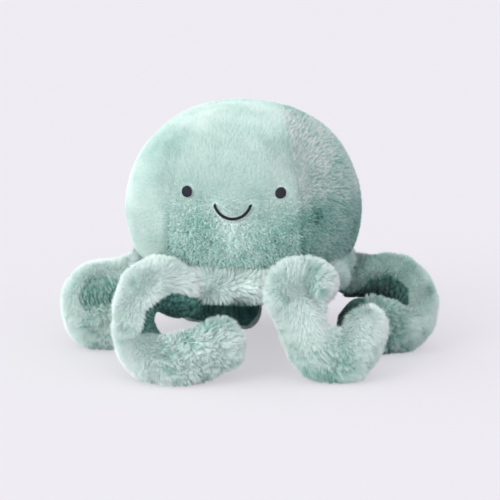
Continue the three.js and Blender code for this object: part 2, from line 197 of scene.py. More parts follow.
def panel_grid(facing, rows, columns):
    """A panel's plain form, in rows from the hem up: its places, directions and distances."""
    on_side = facing in ("left", "right")
    runs = np.linspace(0, SIDE_END + TUCK if on_side else OUTLINE_RUN[-1], rows)
    radius = np.interp(runs, OUTLINE_RUN, OUTLINE_RADIUS)[:, None]
    height = np.interp(runs, OUTLINE_RUN, OUTLINE_HEIGHT)[:, None]
    seam = np.arcsin(np.clip(panel_half_width(height) / np.maximum(radius, 1e-6), 0, 1))
    half = np.maximum(np.pi / 2 - seam, TUCK / 2 / np.maximum(radius, 1)) if on_side else seam
    across = np.linspace(-1, 1, columns)[None, :]
    bearing = PANEL_BEARINGS[facing] + across * half
    rise = np.gradient(height[:, 0], runs)[:, None]
    spread = np.gradient(radius[:, 0], runs)[:, None]
    length = np.hypot(rise, spread)
    rise, spread = (rise / length)[..., None], (spread / length)[..., None]
    outward = np.stack([np.sin(bearing), -np.cos(bearing), 0 * bearing], 2)
    vectors = dict(
        points=outward * radius[..., None] + UP * height[..., None],
        normal=outward * rise - UP * spread,
        down=-outward * spread - UP * rise,
        sideways=np.stack([np.cos(bearing), np.sin(bearing), 0 * bearing], 2),
    )
    numbers = dict(
        across=across,
        from_seam=(1 - np.abs(across)) * half * radius,
        from_right_seam=(1 - across) * half * radius,
        seam_strength=1 - SEAM_LOSS * fade(height, *SEAM_FADES),
        tucked=np.clip((runs[:, None] - SIDE_END + 1) / 2, 0, 1) * on_side,
    )
    panel = {name: values.reshape(-1, 3) for name, values in vectors.items()}
    for name, values in numbers.items():
        panel[name] = np.broadcast_to(values, bearing.shape).reshape(-1)
    return SimpleNamespace(**panel)


# How light each place is: the dye's own tone, with painted shade and painted light for how the light falls.
# A shade darkens it, and a span is the two heights between which that comes in
HEAD_TONE = 0.79
BLOTCHES = ((0.06, 22.0, 5), (0.05, 9.0, 6))  # how strong, how wide, and the seed
# Painted shade that tones down the crown under the light from above
CROWN_SHADE, CROWN_SHADE_SPAN = 0.05, (150.0, 180.0)
# Painted shade on the right panel, which faces away from the key light, darker low down, with painted light
# where it turns to the face and on its top
RIGHT_SHADE, RIGHT_LOW_SHADE, RIGHT_LOW_SPAN = 0.15, 0.15, (128.0, 94.0)
RIGHT_LIGHT_BY_FACE, RIGHT_LIGHT_LOST_LOW = 0.14, 0.8
RIGHT_TOP_LIGHT, RIGHT_TOP_SPAN = 0.07, (145.0, 170.0)
# Painted shade in the seam valleys, and on the face next to the right seam where it turns from the light
SEAM_SHADE, SEAM_SHADE_SPREAD = 0.10, 1.6
FACE_EDGE_SHADE, FACE_EDGE_SPREAD, FACE_EDGE_SPAN = 0.05, 18.0, (128.0, 148.0)

# Painted sheen in patches on the front half, lighter and darker where the nap was stroked the other way and
# catches the light differently: x, height, spread, change
PAINTED_SHEEN_PATCHES = (
    (-6, 164, 30, 0.03),
    (-3, 103, 11, 0.28),
    (-22, 98, 13, -0.16),
    (28, 95, 16, -0.14),
    (-56, 158, 15, -0.16),
    (58, 113, 10, -0.28),
    (-60, 110, 14, 0.10),
    (38, 146, 17, 0.13),
)
PAINTED_SHEEN_BACK, PAINTED_SHEEN_FRONT = 5.0, -15.0


def panel_tone(facing, panel):
    """How light each place is: uneven dye, with painted shade on the crown, the right side, the seams and
    the face by the right seam, painted light on the right side towards the face and the top, and painted
    sheen in brushed patches.
    """
    x, y, z = panel.points.T
    tone = HEAD_TONE + sum(strength * lumps(panel.points, size, seed) for strength, size, seed in BLOTCHES)
    # painted shade on the crown
    tone -= CROWN_SHADE * fade(z, *CROWN_SHADE_SPAN)
    # painted shade on the right side, away from the key light, with painted light towards the face and the
    # top
    if facing == "right":
        low = fade(z, *RIGHT_LOW_SPAN)
        by_face = np.clip(-panel.across, 0, 1) ** 2
        tone += (
            -RIGHT_SHADE
            - RIGHT_LOW_SHADE * low
            + RIGHT_LIGHT_BY_FACE * by_face * (1 - RIGHT_LIGHT_LOST_LOW * low)
            + RIGHT_TOP_LIGHT * fade(z, *RIGHT_TOP_SPAN)
        )
    # painted sheen: patches lighter and darker where the brushed nap catches the light differently
    for patch_x, patch_z, spread, change in PAINTED_SHEEN_PATCHES:
        near = bell(np.hypot(x - patch_x, z - patch_z), spread)
        tone += change * near * fade(y, PAINTED_SHEEN_BACK, PAINTED_SHEEN_FRONT)
    # painted shade in the seam valleys
    tone -= SEAM_SHADE * (panel.seam_strength * bell(panel.from_seam, SEAM_SHADE_SPREAD))
    # painted shade on the face next to the right seam
    if facing == "front":
        tone -= FACE_EDGE_SHADE * bell(panel.from_right_seam, FACE_EDGE_SPREAD) * fade(z, *FACE_EDGE_SPAN)
    return tone


# The nap: up on the brow and down on the jowls, backwards on the sides and over the crown
SWIRL_SIZE, FACE_SWIRL, SIDE_SWIRL = 34.0, 0.5, 0.4
FACE_PARTING, FACE_PARTING_WIDTH, JOWL_NAP = 118.0, 22.0, -0.6
SIDE_BACKWARDS, SIDE_DOWN = 0.9, 0.45
BY_SEAM_SPREAD, BY_SEAM_SPAN = 20.0, (112.0, 136.0)
CROWN_SPAN = (152.0, 174.0)
STANDING_HEIGHT, STANDING_WIDTH, LEAST_LEAN = 92.0, 40.0, 0.35


def panel_nap(facing, panel):
    """Which way the pile is brushed, and how far it lies down: it stands up towards the hem."""
    z = panel.points[:, 2:]
    swirl = lumps(panel.points, SWIRL_SIZE, 8)[:, None]
    if facing in ("front", "back"):
        up = np.clip((z - FACE_PARTING) / FACE_PARTING_WIDTH, JOWL_NAP, 1) if facing == "front" else -1
        nap = panel.sideways * FACE_SWIRL * swirl - panel.down * up
    else:
        to_back = 1 if facing == "right" else -1
        nap = SIDE_DOWN * panel.down + panel.sideways * (SIDE_BACKWARDS * to_back + SIDE_SWIRL * swirl)
        by_seam = bell(panel.from_seam[:, None], BY_SEAM_SPREAD) * fade(z, *BY_SEAM_SPAN)
        to_front = np.clip(-2 * to_back * panel.across[:, None], -1, 1)
        nap = nap * (1 - by_seam) - panel.down * by_seam * to_front
    crown = fade(z, *CROWN_SPAN)
    nap = nap * (1 - crown) + (BACKWARDS - panel.normal * (panel.normal @ BACKWARDS)[:, None]) * crown
    return nap * np.clip((z - STANDING_HEIGHT) / STANDING_WIDTH, LEAST_LEAN, 1)


EYE_BARE, SMILE_BARE = 4.3, 1.5
EYE_TRIM, EYE_TRIM_WIDTH, SMILE_TRIM, SHORTEST = 2.5, 6.0, 5.5, 0.35


def panel_pile(facing, points):
    """Where pile grows, and how short it is trimmed round the stitches."""
    x, _, z = points.T
    bare = z < HEM_HEIGHT - 0.5
    length = np.ones(len(points))
    if facing == "front":
        from_eye = np.min([np.hypot(x - eye, z - EYE_HEIGHT) for eye in EYE_PLACES], 0)
        from_smile = smile_distance(x, z)
        bare |= (from_eye < EYE_BARE) | (from_smile < SMILE_BARE)
        length = np.minimum((from_eye - EYE_TRIM) / EYE_TRIM_WIDTH, from_smile / SMILE_TRIM)
        length = np.clip(length, SHORTEST, 1)
    return dict(pile=length, cover=np.where(bare, 0.0, 1.0))


PANEL_ROUGH = {"front": 0.35, "right": 1.0, "back": 0.7, "left": 0.3}
JOWL_ROUGH, JOWL_SPAN = 1.5, (128.0, 102.0)
MERGED = 0.02


def head_panel(name, facing, rows, columns):
    """One panel's outer skin, with what its pile needs. facing is front, back, left or right."""
    panel = panel_grid(facing, rows, columns)
    x, y, z = panel.points.T
    lift = -PILE_ROOM - SEAM_DEPTH * panel.seam_strength * bell(panel.from_seam, SEAM_SPREAD)
    lift = lift * fade(z, HEM_HEIGHT, HEM_HEIGHT + HEM_EASE) - face_dimples(x, z) * (y < 0)
    lift = lift - TUCK_DEPTH * panel.tucked + STUFFING_LUMP * lumps(panel.points, STUFFING_LUMP_SIZE, 3)
    placed = turn_head(panel.points + panel.normal * lift[:, None]) + HEAD_CENTRE
    rough = PANEL_ROUGH[facing] + JOWL_ROUGH * fade(z, *JOWL_SPAN) * (facing == "front")
    piece = new_piece(name, placed, grid_faces(rows, columns))
    note(piece, tone=panel_tone(facing, panel), nap=turn_head(panel_nap(facing, panel)), rough=rough)
    note(piece, **panel_pile(facing, panel.points), **even_comb(placed))
    # The points that meet where a side panel comes to its tip become one
    return reworked(piece, lambda work: bmesh.ops.remove_doubles(work, verts=work.verts, dist=MERGED * MM))


def add(tree, kind, inputs=(), **settings):
    """Adds a node, sets it up and gives its outputs. An input is a value or another node's output."""
    made = tree.nodes.new(kind)
    for name, value in settings.items():
        setattr(made, name, value)
    for key, value in dict(inputs).items():
        if isinstance(value, bpy.types.NodeSocket):
            tree.links.new(value, made.inputs[key])
        else:
            made.inputs[key].default_value = value
    return made.outputs


def mixed(tree, share, first, second, how="MIX"):
    """Two colours mixed by a share."""
    return add(tree, "ShaderNodeMix", {0: share, 6: first, 7: second}, data_type="RGBA", blend_type=how)[2]


def remapped(tree, value, old=(0.0, 1.0), new=(0.0, 1.0), how="LINEAR"):
    """A number moved from its old range to a new one."""
    ends = dict(zip((1, 2, 3, 4), old + new))
    return add(tree, "ShaderNodeMapRange", {0: value, **ends}, interpolation_type=how)[0]


def ramp(tree, by, stops):
    """A run of colours by a number from 0 to 1."""
    made = tree.nodes.new("ShaderNodeValToRGB")
    colours = made.color_ramp.elements
    for place, colour in stops[1:-1]:
        colours.new(place).color = colour
    colours[0].color, colours[-1].color = stops[0][1], stops[-1][1]
    tree.links.new(by, made.inputs["Fac"])
    return made.outputs["Color"]


def srgb(red, green, blue):
    """A colour as it looks on screen, from 0 to 255, as the shader needs it."""
    linear = (((v / 255 + 0.055) / 1.055) ** 2.4 if v > 10 else v / 3295 for v in (red, green, blue))
    return (*linear, 1.0)


# The dye of the plush by its tone: 0 to 0.35 is the underside's teal, and 0.4 to 1 the mint of the covers
DYE = (
    (0.00, srgb(40, 80, 78)),
    (0.16, srgb(92, 146, 139)),
    (0.36, srgb(150, 204, 194)),
    (0.42, srgb(154, 200, 192)),
    (0.58, srgb(189, 218, 213)),
    (0.76, srgb(217, 235, 231)),
    (1.00, srgb(242, 251, 250)),
)
WHITE = (1, 1, 1, 1)
PILE_SHADE = ((0.0, srgb(212, 229, 226)), (0.45, srgb(245, 250, 249)), (1.0, WHITE))  # painted shade deep in the pile, from the foot to the tip
# Painted shade and lilac reflection for the head's right side, which faces away from the key light
SHADE_SIDE_TINT = (1.01, 0.915, 0.935, 1)


def dye_and_shade_group(name, tint):
    """The plush's colour from its tone and the height in its pile, with painted shade darker at the foot,
    times a tint.
    """
    tree = bpy.data.node_groups.new(name, "ShaderNodeTree")
    tree.interface.new_socket("Tone", in_out="INPUT", socket_type="NodeSocketFloat")
    tree.interface.new_socket("Height", in_out="INPUT", socket_type="NodeSocketFloat")
    tree.interface.new_socket("Colour", in_out="OUTPUT", socket_type="NodeSocketColor")
    given = tree.nodes.new("NodeGroupInput").outputs
    dye, depth = ramp(tree, given["Tone"], DYE), ramp(tree, given["Height"], PILE_SHADE)
    tinted = mixed(tree, 1.0, mixed(tree, 1.0, dye, depth, "MULTIPLY"), tint, "MULTIPLY")
    tree.links.new(tinted, tree.nodes.new("NodeGroupOutput").inputs["Colour"])
    return tree


PLUSH_DYE_AND_SHADE, SHADE_SIDE_COLOURS = dye_and_shade_group("plush_dye", WHITE), dye_and_shade_group("greyer_dye", SHADE_SIDE_TINT)


def new_finish(name, **sockets):
    """A material with one Principled shader whose plain sockets are set."""
    finish = bpy.data.materials.new(name)
    finish.use_nodes = True
    shader = finish.node_tree.nodes["Principled BSDF"]
    for key, value in sockets.items():
        shader.inputs[key.replace("_", " ")].default_value = value
    return finish, finish.node_tree, shader


def plush_pile_finish(name, dye):
    """The strands: their map holds the tone across and the height in the pile upwards, and the colour group
    given as dye brings painted shade towards the foot.
    """
    finish, tree, shader = new_finish(
        name, Roughness=0.9, Specular_IOR_Level=0.15,
        Sheen_Weight=0.5, Sheen_Roughness=0.45, Sheen_Tint=srgb(234, 238, 242),
    )
    place = add(tree, "ShaderNodeSeparateXYZ", {0: add(tree, "ShaderNodeUVMap", uv_map="OFBake")["UV"]})
    coloured = add(tree, "ShaderNodeGroup", {"Tone": place["X"], "Height": place["Y"]}, node_tree=dye)
    tree.links.new(coloured["Colour"], shader.inputs["Base Color"])
    return finish


def plush_cloth_finish():
    """The knitted ground that the strands stand in, with its own nubs, painted in the shade of the foot of
    the pile.
    """
    finish, tree, shader = new_finish(
        "plush_cloth", Roughness=0.95, Specular_IOR_Level=0.1, Sheen_Weight=0.3
    )
    place = add(tree, "ShaderNodeTexCoord")["Object"]
    nubs = add(tree, "ShaderNodeTexNoise", {"Vector": place, "Scale": 900.0, "Detail": 3.0})[0]
    tone = add(tree, "ShaderNodeAttribute", attribute_name="tone")["Fac"]
    high = remapped(tree, nubs, (0.3, 0.7), (0.05, 0.5))
    coloured = add(tree, "ShaderNodeGroup", {"Tone": tone, "Height": high}, node_tree=PLUSH_DYE_AND_SHADE)
    tree.links.new(coloured["Colour"], shader.inputs["Base Color"])
    bump = add(tree, "ShaderNodeBump", {"Height": nubs, "Strength": 0.5, "Distance": 0.0006})["Normal"]
    tree.links.new(bump, shader.inputs["Normal"])
    return finish


PILE_FINISH, CLOTH_FINISH = plush_pile_finish("plush_pile", PLUSH_DYE_AND_SHADE), plush_cloth_finish()
SHADE_SIDE_PILE_FINISH = plush_pile_finish("plush_pile_greyer", SHADE_SIDE_COLOURS)

STRAND_BEND, STRAND_MAP_WIDTH = 0.12, 0.012


def new_strand():
    """One strand of pile, a tapered blade of unit length and width, with its narrow place on the map."""
    corners = np.array([[-0.5, 0, 0], [0.5, 0, 0], [0, STRAND_BEND, 1.0]])
    strand = new_piece("strand", corners / MM, [(1, 0, 2)])
    layer = strand.data.uv_layers.new(name="OFBake")
    for loop in strand.data.loops:
        x, _, z = strand.data.vertices[loop.vertex_index].co
        layer.data[loop.index].uv = (STRAND_MAP_WIDTH * x, z)
    strand.hide_render = True
    return strand


PILE_SIZES = {
    "Strands per square metre": 5.5e6,
    "Length": 0.0032,
    "Width": 0.00032,
    "Lean": 0.8,
    "Scatter": 0.45,
    "Tuft size": 0.003,
    "Tuft pull": 0.5,
    "Shade scatter": 0.08,
    "Groove shade": 0.25,
    "Floor": 0.0002,
    "Seed": 1,
}


def open_inputs(tree, kinds):
    """Gives a node tree its named inputs, and returns them."""
    return {
        label: tree.interface.new_socket(label, in_out="INPUT", socket_type="NodeSocket" + kind)
        for label, kind in kinds.items()
    }


def pile_nodes():
    """Grows pile on a skin: strands that follow its nap and draw together in tufts."""
    tree = bpy.data.node_groups.new("pile", "GeometryNodeTree")
    sockets = open_inputs(tree, {"Skin": "Geometry", "Strand": "Object", "Finish": "Material"})
    sizes = open_inputs(tree, {label: "Int" if label == "Seed" else "Float" for label in PILE_SIZES})
    for label, socket in sizes.items():
        socket.default_value = PILE_SIZES[label]
    tree.interface.new_socket("Pile", in_out="OUTPUT", socket_type="NodeSocketGeometry")
    given = tree.nodes.new("NodeGroupInput").outputs

    def vector(operation, a, b=(0.0, 0.0, 0.0)):
        return add(tree, "ShaderNodeVectorMath", {0: a, 1: b}, operation=operation)[0]

    def scaled(a, amount):
        return add(tree, "ShaderNodeVectorMath", {0: a, "Scale": amount}, operation="SCALE")[0]

    def number(operation, a, b):
        return add(tree, "ShaderNodeMath", {0: a, 1: b}, operation=operation)[0]

    def noted(kind, name):
        return add(tree, "GeometryNodeInputNamedAttribute", {"Name": name}, data_type=kind)[0]

    def stored(geometry, name, value, kind, domain):
        inputs = {"Geometry": geometry, "Name": name, "Value": value}
        return add(tree, "GeometryNodeStoreNamedAttribute", inputs, data_type=kind, domain=domain)[0]

    def reseeded(offset):
        return add(tree, "FunctionNodeIntegerMath", {0: given["Seed"], 1: offset}, operation="ADD")[0]

    def drawn(low, high, offset):
        inputs = {2: low, 3: high, "Seed": reseeded(offset)}
        return add(tree, "FunctionNodeRandomValue", inputs, data_type="FLOAT")[1]

    # Strands are sown over the skin, and each finds the middle of its tuft
    density = number("MULTIPLY", given["Strands per square metre"], noted("FLOAT", "cover"))
    inputs = {"Mesh": given["Skin"], "Density": density, "Seed": given["Seed"]}
    sown = add(tree, "GeometryNodeDistributePointsOnFaces", inputs)
    place = add(tree, "GeometryNodeInputPosition")[0]
    finer = number("DIVIDE", 1.0, given["Tuft size"])
    comb = noted("FLOAT_VECTOR", "comb")
    inputs = {"Vector": comb, "Scale": finer}
    tuft = add(tree, "ShaderNodeTexVoronoi", inputs, voronoi_dimensions="3D", feature="F1")
    off = add(tree, "ShaderNodeSeparateXYZ", {0: vector("SUBTRACT", tuft["Position"], comb)})
    crosswise = [scaled(noted("FLOAT_VECTOR", "comb_" + axis), off[k]) for k, axis in enumerate("xyz")]
    drawn_to = vector("ADD", vector("ADD", crosswise[0], crosswise[1]), crosswise[2])
    inwards = scaled(drawn_to, number("MULTIPLY", given["Tuft pull"], finer))

    # It leans with the nap, towards its tuft and a little astray
    nap = scaled(noted("FLOAT_VECTOR", "nap"), given["Lean"])
    inputs = {0: (-1.0, -1.0, -1.0), 1: (1.0, 1.0, 1.0), "Seed": reseeded(11)}
    stray = add(tree, "FunctionNodeRandomValue", inputs, data_type="FLOAT_VECTOR")[0]
    rough = noted("FLOAT", "rough")
    leaning = vector("ADD", vector("ADD", nap, scaled(inwards, rough)), scaled(stray, given["Scatter"]))
    pointing = vector("NORMALIZE", vector("ADD", sown["Normal"], leaning))
    along = add(tree, "FunctionNodeAlignRotationToVector", {"Vector": pointing}, axis="Z")[0]
    inputs = {"Rotation": along, "Vector": sown["Normal"]}
    facing = add(tree, "FunctionNodeAlignRotationToVector", inputs, axis="Y", pivot_axis="Z")[0]
    tall = number("MULTIPLY", given["Length"], noted("FLOAT", "pile"))
    tall = number("MULTIPLY", tall, drawn(0.75, 1.2, 3))
    wide = number("MULTIPLY", given["Width"], drawn(0.7, 1.2, 5))
    size = add(tree, "ShaderNodeCombineXYZ", {0: wide, 1: tall, 2: tall})[0]

    # Its tone changes a little from strand to strand and from tuft to tuft, and painted shade darkens it
    # between tufts
    tuft_shade = number("SUBTRACT", add(tree, "ShaderNodeSeparateXYZ", {0: tuft["Color"]})[0], 0.5)
    scatter = number("MULTIPLY", given["Shade scatter"], rough)
    change = number("MULTIPLY", number("ADD", drawn(-1.0, 1.0, 7), tuft_shade), scatter)
    groove = remapped(tree, tuft["Distance"], (0.25, 0.75), how="SMOOTHSTEP")
    shaded = number("MULTIPLY", groove, number("MULTIPLY", given["Groove shade"], rough))
    tone = number("SUBTRACT", number("ADD", noted("FLOAT", "tone"), change), shaded)
    held = add(tree, "ShaderNodeClamp", {0: tone, 1: 0.01, 2: 0.99})[0]
    toned = stored(sown["Points"], "tone", held, "FLOAT", "POINT")

    # The strand stands there, kept above the table, with its tone and height on the map
    blade = add(tree, "GeometryNodeObjectInfo", {"Object": given["Strand"]})["Geometry"]
    inputs = {"Points": toned, "Instance": blade, "Rotation": facing, "Scale": size}
    stood = add(tree, "GeometryNodeInstanceOnPoints", inputs)[0]
    real = add(tree, "GeometryNodeRealizeInstances", {0: stood})[0]
    parts = add(tree, "ShaderNodeSeparateXYZ", {0: place})
    height = number("MAXIMUM", parts[2], given["Floor"])
    kept_up = add(tree, "ShaderNodeCombineXYZ", {0: parts[0], 1: parts[1], 2: height})[0]
    real = add(tree, "GeometryNodeSetPosition", {"Geometry": real, "Position": kept_up})[0]
    on_blade = add(tree, "ShaderNodeSeparateXYZ", {0: noted("FLOAT_VECTOR", "OFBake")})
    by_tone = number("ADD", on_blade[0], noted("FLOAT", "tone"))
    on_map = add(tree, "ShaderNodeCombineXYZ", {0: by_tone, 1: on_blade[1]})[0]
    real = stored(real, "OFBake", on_map, "FLOAT2", "CORNER")
    for name in ("tone", "nap", "rough", "pile", "cover", "comb", "comb_x", "comb_y", "comb_z"):
        real = add(tree, "GeometryNodeRemoveAttribute", {"Geometry": real, "Name": name})[0]
    real = add(tree, "GeometryNodeSetMaterial", {"Geometry": real, "Material": given["Finish"]})[0]
    tree.links.new(real, tree.nodes.new("NodeGroupOutput").inputs["Pile"])
    return tree, {label: socket.identifier for label, socket in (sockets | sizes).items()}


STRAND = new_strand()
PILE_TREE, PILE_KEYS = pile_nodes()


def plain_mesh(holder, name):
    """The evaluated shape as a piece with a plain mesh, in place of the holder."""
    depsgraph = bpy.context.evaluated_depsgraph_get()
    mesh = bpy.data.meshes.new_from_object(
        holder.evaluated_get(depsgraph), preserve_all_data_layers=True, depsgraph=depsgraph
    )
    mesh.name = name
    bpy.data.objects.remove(holder)
    return put_in_scene(name, mesh)


def grow_pile(skin, name, finish=PILE_FINISH, **sizes):
    """The pile of one skin as a piece of its own. sizes are PILE_SIZES in the tree's words."""
    holder = put_in_scene(name + "_ground", skin.data.copy())
    growing = holder.modifiers.new("pile", "NODES")
    growing.node_group = PILE_TREE
    growing[PILE_KEYS["Strand"]] = STRAND
    growing[PILE_KEYS["Finish"]] = finish
    for label, value in sizes.items():
        growing[PILE_KEYS[label.replace("_", " ")]] = value
    return plain_mesh(holder, name)


def with_thickness(skin):
    """Gives a panel of cloth its thickness inwards, and its finish."""
    name = skin.name
    skin.name = name + "_face"
    wall = skin.modifiers.new("thickness", "SOLIDIFY")
    wall.thickness, wall.offset = CLOTH * MM, -1
    piece = plain_mesh(skin, name)
    piece.data.materials.clear()
    piece.data.materials.append(CLOTH_FINISH)
    return piece


HEAD_PILE = dict(
    Length=0.0029, Width=0.00036, Lean=0.95, Scatter=0.27,
    Tuft_size=0.0023, Tuft_pull=0.9, Groove_shade=0.23, Shade_scatter=0.1,
)
HEAD_PILE_SEED = 20
HEAD_ROWS = {"front": (110, 84), "back": (90, 60), "left": (90, 44), "right": (90, 44)}
for turn, (facing, (rows, columns)) in enumerate(HEAD_ROWS.items()):
    skin = head_panel(f"head_{facing}_plush", facing, rows, columns)
    # the right panel's pile takes the painted shade and lilac reflection of the shaded side
    finish = SHADE_SIDE_PILE_FINISH if facing == "right" else PILE_FINISH
    pile = grow_pile(skin, f"head_{facing}_pile", finish, Seed=HEAD_PILE_SEED + turn, **HEAD_PILE)
    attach(pile, "body")
    panel = with_thickness(skin)
    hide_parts(f"head_{facing}_panel")
    if facing == "front":
        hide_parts("head_stuffing")
    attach(panel, "body")

# Face
# Two eyes and a smile, machine-embroidered through the front panel before the head is sewn. Each is
# dark satin stitch: threads side by side over a padding, which pull the plush in round them.
THREAD_RADIUS = 0.33
EYE_SIZE, EYE_RISE, EYE_EDGE, EYE_FOOT = 8.0, 1.5, 0.15, 2.4
EYE_SLANT = math.radians(58)
EYE_PITCH, EYE_MARGIN, EYE_SHORTEST = 0.5, 0.12, 0.2
EYE_PADDING = ((0.97, -EYE_FOOT), (0.97, 0.0), (0.85, 0.5), (0.6, 0.85), (0.3, 1.0))  # reach and height
EYE_PADDING_SIDES = 24
SMILE_WIDTH, SMILE_PITCH, SMILE_SLANT = 2.25, 0.55, 0.05
SMILE_EDGE, SMILE_RISE, SMILE_ROUNDNESS = 0.25, 0.85, 0.95
SMILE_PADDING_HALF, SMILE_PADDING_MIDDLE, SMILE_PADDING_RISE = 0.72, -0.55, 1.2
SMILE_PADDING_RINGS, SMILE_PADDING_SIDES = 48, 10


def on_face(x, z, lift):
    """Places on the front panel from x and height, lifted off the plain form, in the shared frame."""
    crown = OUTLINE_HEIGHT > HEM_HEIGHT
    radius = np.interp(z, OUTLINE_HEIGHT[crown], OUTLINE_RADIUS[crown]) + lift
    return turn_head(np.stack([x, -np.sqrt(radius**2 - x**2), z], 1)) + HEAD_CENTRE


def stitch_nodes():
    """Makes a round thread along each stitch."""
    tree = bpy.data.node_groups.new("stitches", "GeometryNodeTree")
    sockets = open_inputs(tree, {"Paths": "Geometry", "Thread": "Float", "Finish": "Material"})
    tree.interface.new_socket("Stitches", in_out="OUTPUT", socket_type="NodeSocketGeometry")
    given = tree.nodes.new("NodeGroupInput").outputs
    paths = add(tree, "GeometryNodeMeshToCurve", {"Mesh": given["Paths"]})[0]
    section = add(tree, "GeometryNodeCurvePrimitiveCircle", {"Resolution": 7, "Radius": given["Thread"]})[0]
    inputs = {"Curve": paths, "Profile Curve": section, "Fill Caps": True}
    threads = add(tree, "GeometryNodeCurveToMesh", inputs)[0]
    real = add(tree, "GeometryNodeRealizeInstances", {0: threads})[0]
    real = add(tree, "GeometryNodeSetMaterial", {"Geometry": real, "Material": given["Finish"]})[0]
    tree.links.new(real, tree.nodes.new("NodeGroupOutput").inputs["Stitches"])
    return tree, {label: socket.identifier for label, socket in sockets.items()}


STITCH_TREE, STITCH_KEYS = stitch_nodes()


def thread_finish(name, dark, light):
    """Shiny rayon thread, a little paler here and there along its twist."""
    finish, tree, shader = new_finish(name, Specular_IOR_Level=0.3)
    place = add(tree, "ShaderNodeTexCoord")["Object"]
    twist = add(tree, "ShaderNodeTexNoise", {"Vector": place, "Scale": 1600.0, "Detail": 2.0})[0]
    colour = mixed(tree, remapped(tree, twist, (0.35, 0.7)), dark, light)
    tree.links.new(colour, shader.inputs["Base Color"])
    tree.links.new(remapped(tree, twist, new=(0.32, 0.55)), shader.inputs["Roughness"])
    return finish


EYE_THREAD = thread_finish("eye_thread", srgb(22, 22, 35), srgb(44, 43, 58))
SMILE_THREAD = thread_finish("smile_thread", srgb(11, 12, 16), srgb(28, 29, 35))


def embroider(name, node, paths, padding_rings, finish):
    """Sews the stitches of one figure over its padding, given as rings of points."""
    starts = np.cumsum([0] + [len(path) for path in paths[:-1]])
    edges = [(s + i, s + i + 1) for s, path in zip(starts, paths) for i in range(len(path) - 1)]
    mesh = bpy.data.meshes.new(name)
    mesh.from_pydata((np.concatenate(paths) * MM).tolist(), edges, [])
    holder = put_in_scene(name + "_paths", mesh)
    sewing = holder.modifiers.new("stitches", "NODES")
    sewing.node_group = STITCH_TREE
    sewing[STITCH_KEYS["Thread"]] = THREAD_RADIUS * MM
    sewing[STITCH_KEYS["Finish"]] = finish
    piece = plain_mesh(holder, name)
    rings, sides = len(padding_rings), len(padding_rings[0])
    faces = grid_faces(rings, sides, closed=True)
    faces += [tuple(range(sides)), tuple(range((rings - 1) * sides, rings * sides))]
    padding = new_piece(name + "_padding", np.concatenate(padding_rings), faces)
    padding.data.materials.append(finish)
    reworked(piece, lambda work: work.from_mesh(padding.data))
    bpy.data.objects.remove(padding)
    piece.data.shade_smooth()
    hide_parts(node)
    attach(piece, "body")


reach = EYE_SIZE / 2 - THREAD_RADIUS
for name, x in zip(("left_eye", "right_eye"), EYE_PLACES):
    paths = []
    for offset in np.arange(-reach + EYE_MARGIN, reach, EYE_PITCH):
        half = math.sqrt(max(reach**2 - offset**2, EYE_SHORTEST**2))
        run = np.linspace(-half, half, 11)
        out = np.hypot(run, offset) / reach
        high = EYE_EDGE + (EYE_RISE - THREAD_RADIUS - EYE_EDGE) * np.sqrt(np.clip(1 - out**2, 0, 1))
        aside = run * math.cos(EYE_SLANT) - offset * math.sin(EYE_SLANT)
        above = run * math.sin(EYE_SLANT) + offset * math.cos(EYE_SLANT)
        paths.append(on_face(x + aside, EYE_HEIGHT + above, high))
    angle = np.linspace(0, 2 * np.pi, EYE_PADDING_SIDES, endpoint=False)
    rings = [
        on_face(x + out * reach * np.cos(angle), EYE_HEIGHT + out * reach * np.sin(angle), high + 0 * angle)
        for out, high in EYE_PADDING
    ]
    embroider(name + "_stitches", name, paths, rings, EYE_THREAD)


def on_smile(radius, angle, lift):
    return on_face(radius * np.sin(angle), SMILE_CENTRE - radius * np.cos(angle), lift)


count = int(2 * SMILE_HALF_ANGLE * SMILE_RADIUS / SMILE_PITCH)
cross = np.linspace(-1, 1, 7)
radius = SMILE_RADIUS + cross * (SMILE_WIDTH / 2 - THREAD_RADIUS)
high = SMILE_EDGE + SMILE_RISE * np.sqrt(1 - (SMILE_ROUNDNESS * cross) ** 2)
paths = [
    on_smile(radius, angle + cross * SMILE_SLANT, high)
    for angle in np.linspace(-SMILE_HALF_ANGLE, SMILE_HALF_ANGLE, count)
]
around = np.linspace(0, 2 * np.pi, SMILE_PADDING_SIDES, endpoint=False)
radius = SMILE_RADIUS + SMILE_PADDING_HALF * np.cos(around)
high = SMILE_PADDING_MIDDLE + SMILE_PADDING_RISE * np.sin(around)
rings = [
    on_smile(radius, angle, high)
    for angle in np.linspace(-SMILE_HALF_ANGLE, SMILE_HALF_ANGLE, SMILE_PADDING_RINGS)
]
embroider("smile_stitches", "smile", paths, rings, SMILE_THREAD)

# Skirt
# A puffy ring of longer plush under the hem of the head, gathered into the hem seam at its top and into
# the base cloth at its bottom. The base is a flat disc of teal cloth, drawn up round its edge.
SKIRT_RADIUS, SKIRT_BOTTOM = 80.0, 50.0
SKIRT_FULLNESS, SKIRT_TOP_DEPTH, HEM_LAP, BASE_LAP = 1.5, 9.0, 1.5, 1.0
SKIRT_START, SKIRT_SWING = -100, 205  # its section is round: degrees from the base to the hem
BASE_RADIUS = 64.0
SKIRT_LUMPS = ((1.6, 16.0, 31), (0.8, 7.0, 32))  # how high, how wide, and the seed
FRONT_ROLL, FRONT_ROLL_BEARING, FRONT_ROLL_SPREAD = 8.5, math.radians(-101), math.radians(31)
SKIRT_ROWS, SKIRT_COLUMNS = 44, 300
SKIRT_TONE, SKIRT_LIGHT, SKIRT_SHADE = 0.16, 0.8, 0.3  # teal at the base, mint above, with painted shade on the right
MINT_FROM, MINT_WIDTH, MINT_WANDER, MINT_WANDER_SIZE = 0.24, 0.1, 0.03, 9
SHADE_BEARING, SHADE_SPREAD = -0.35, 0.45
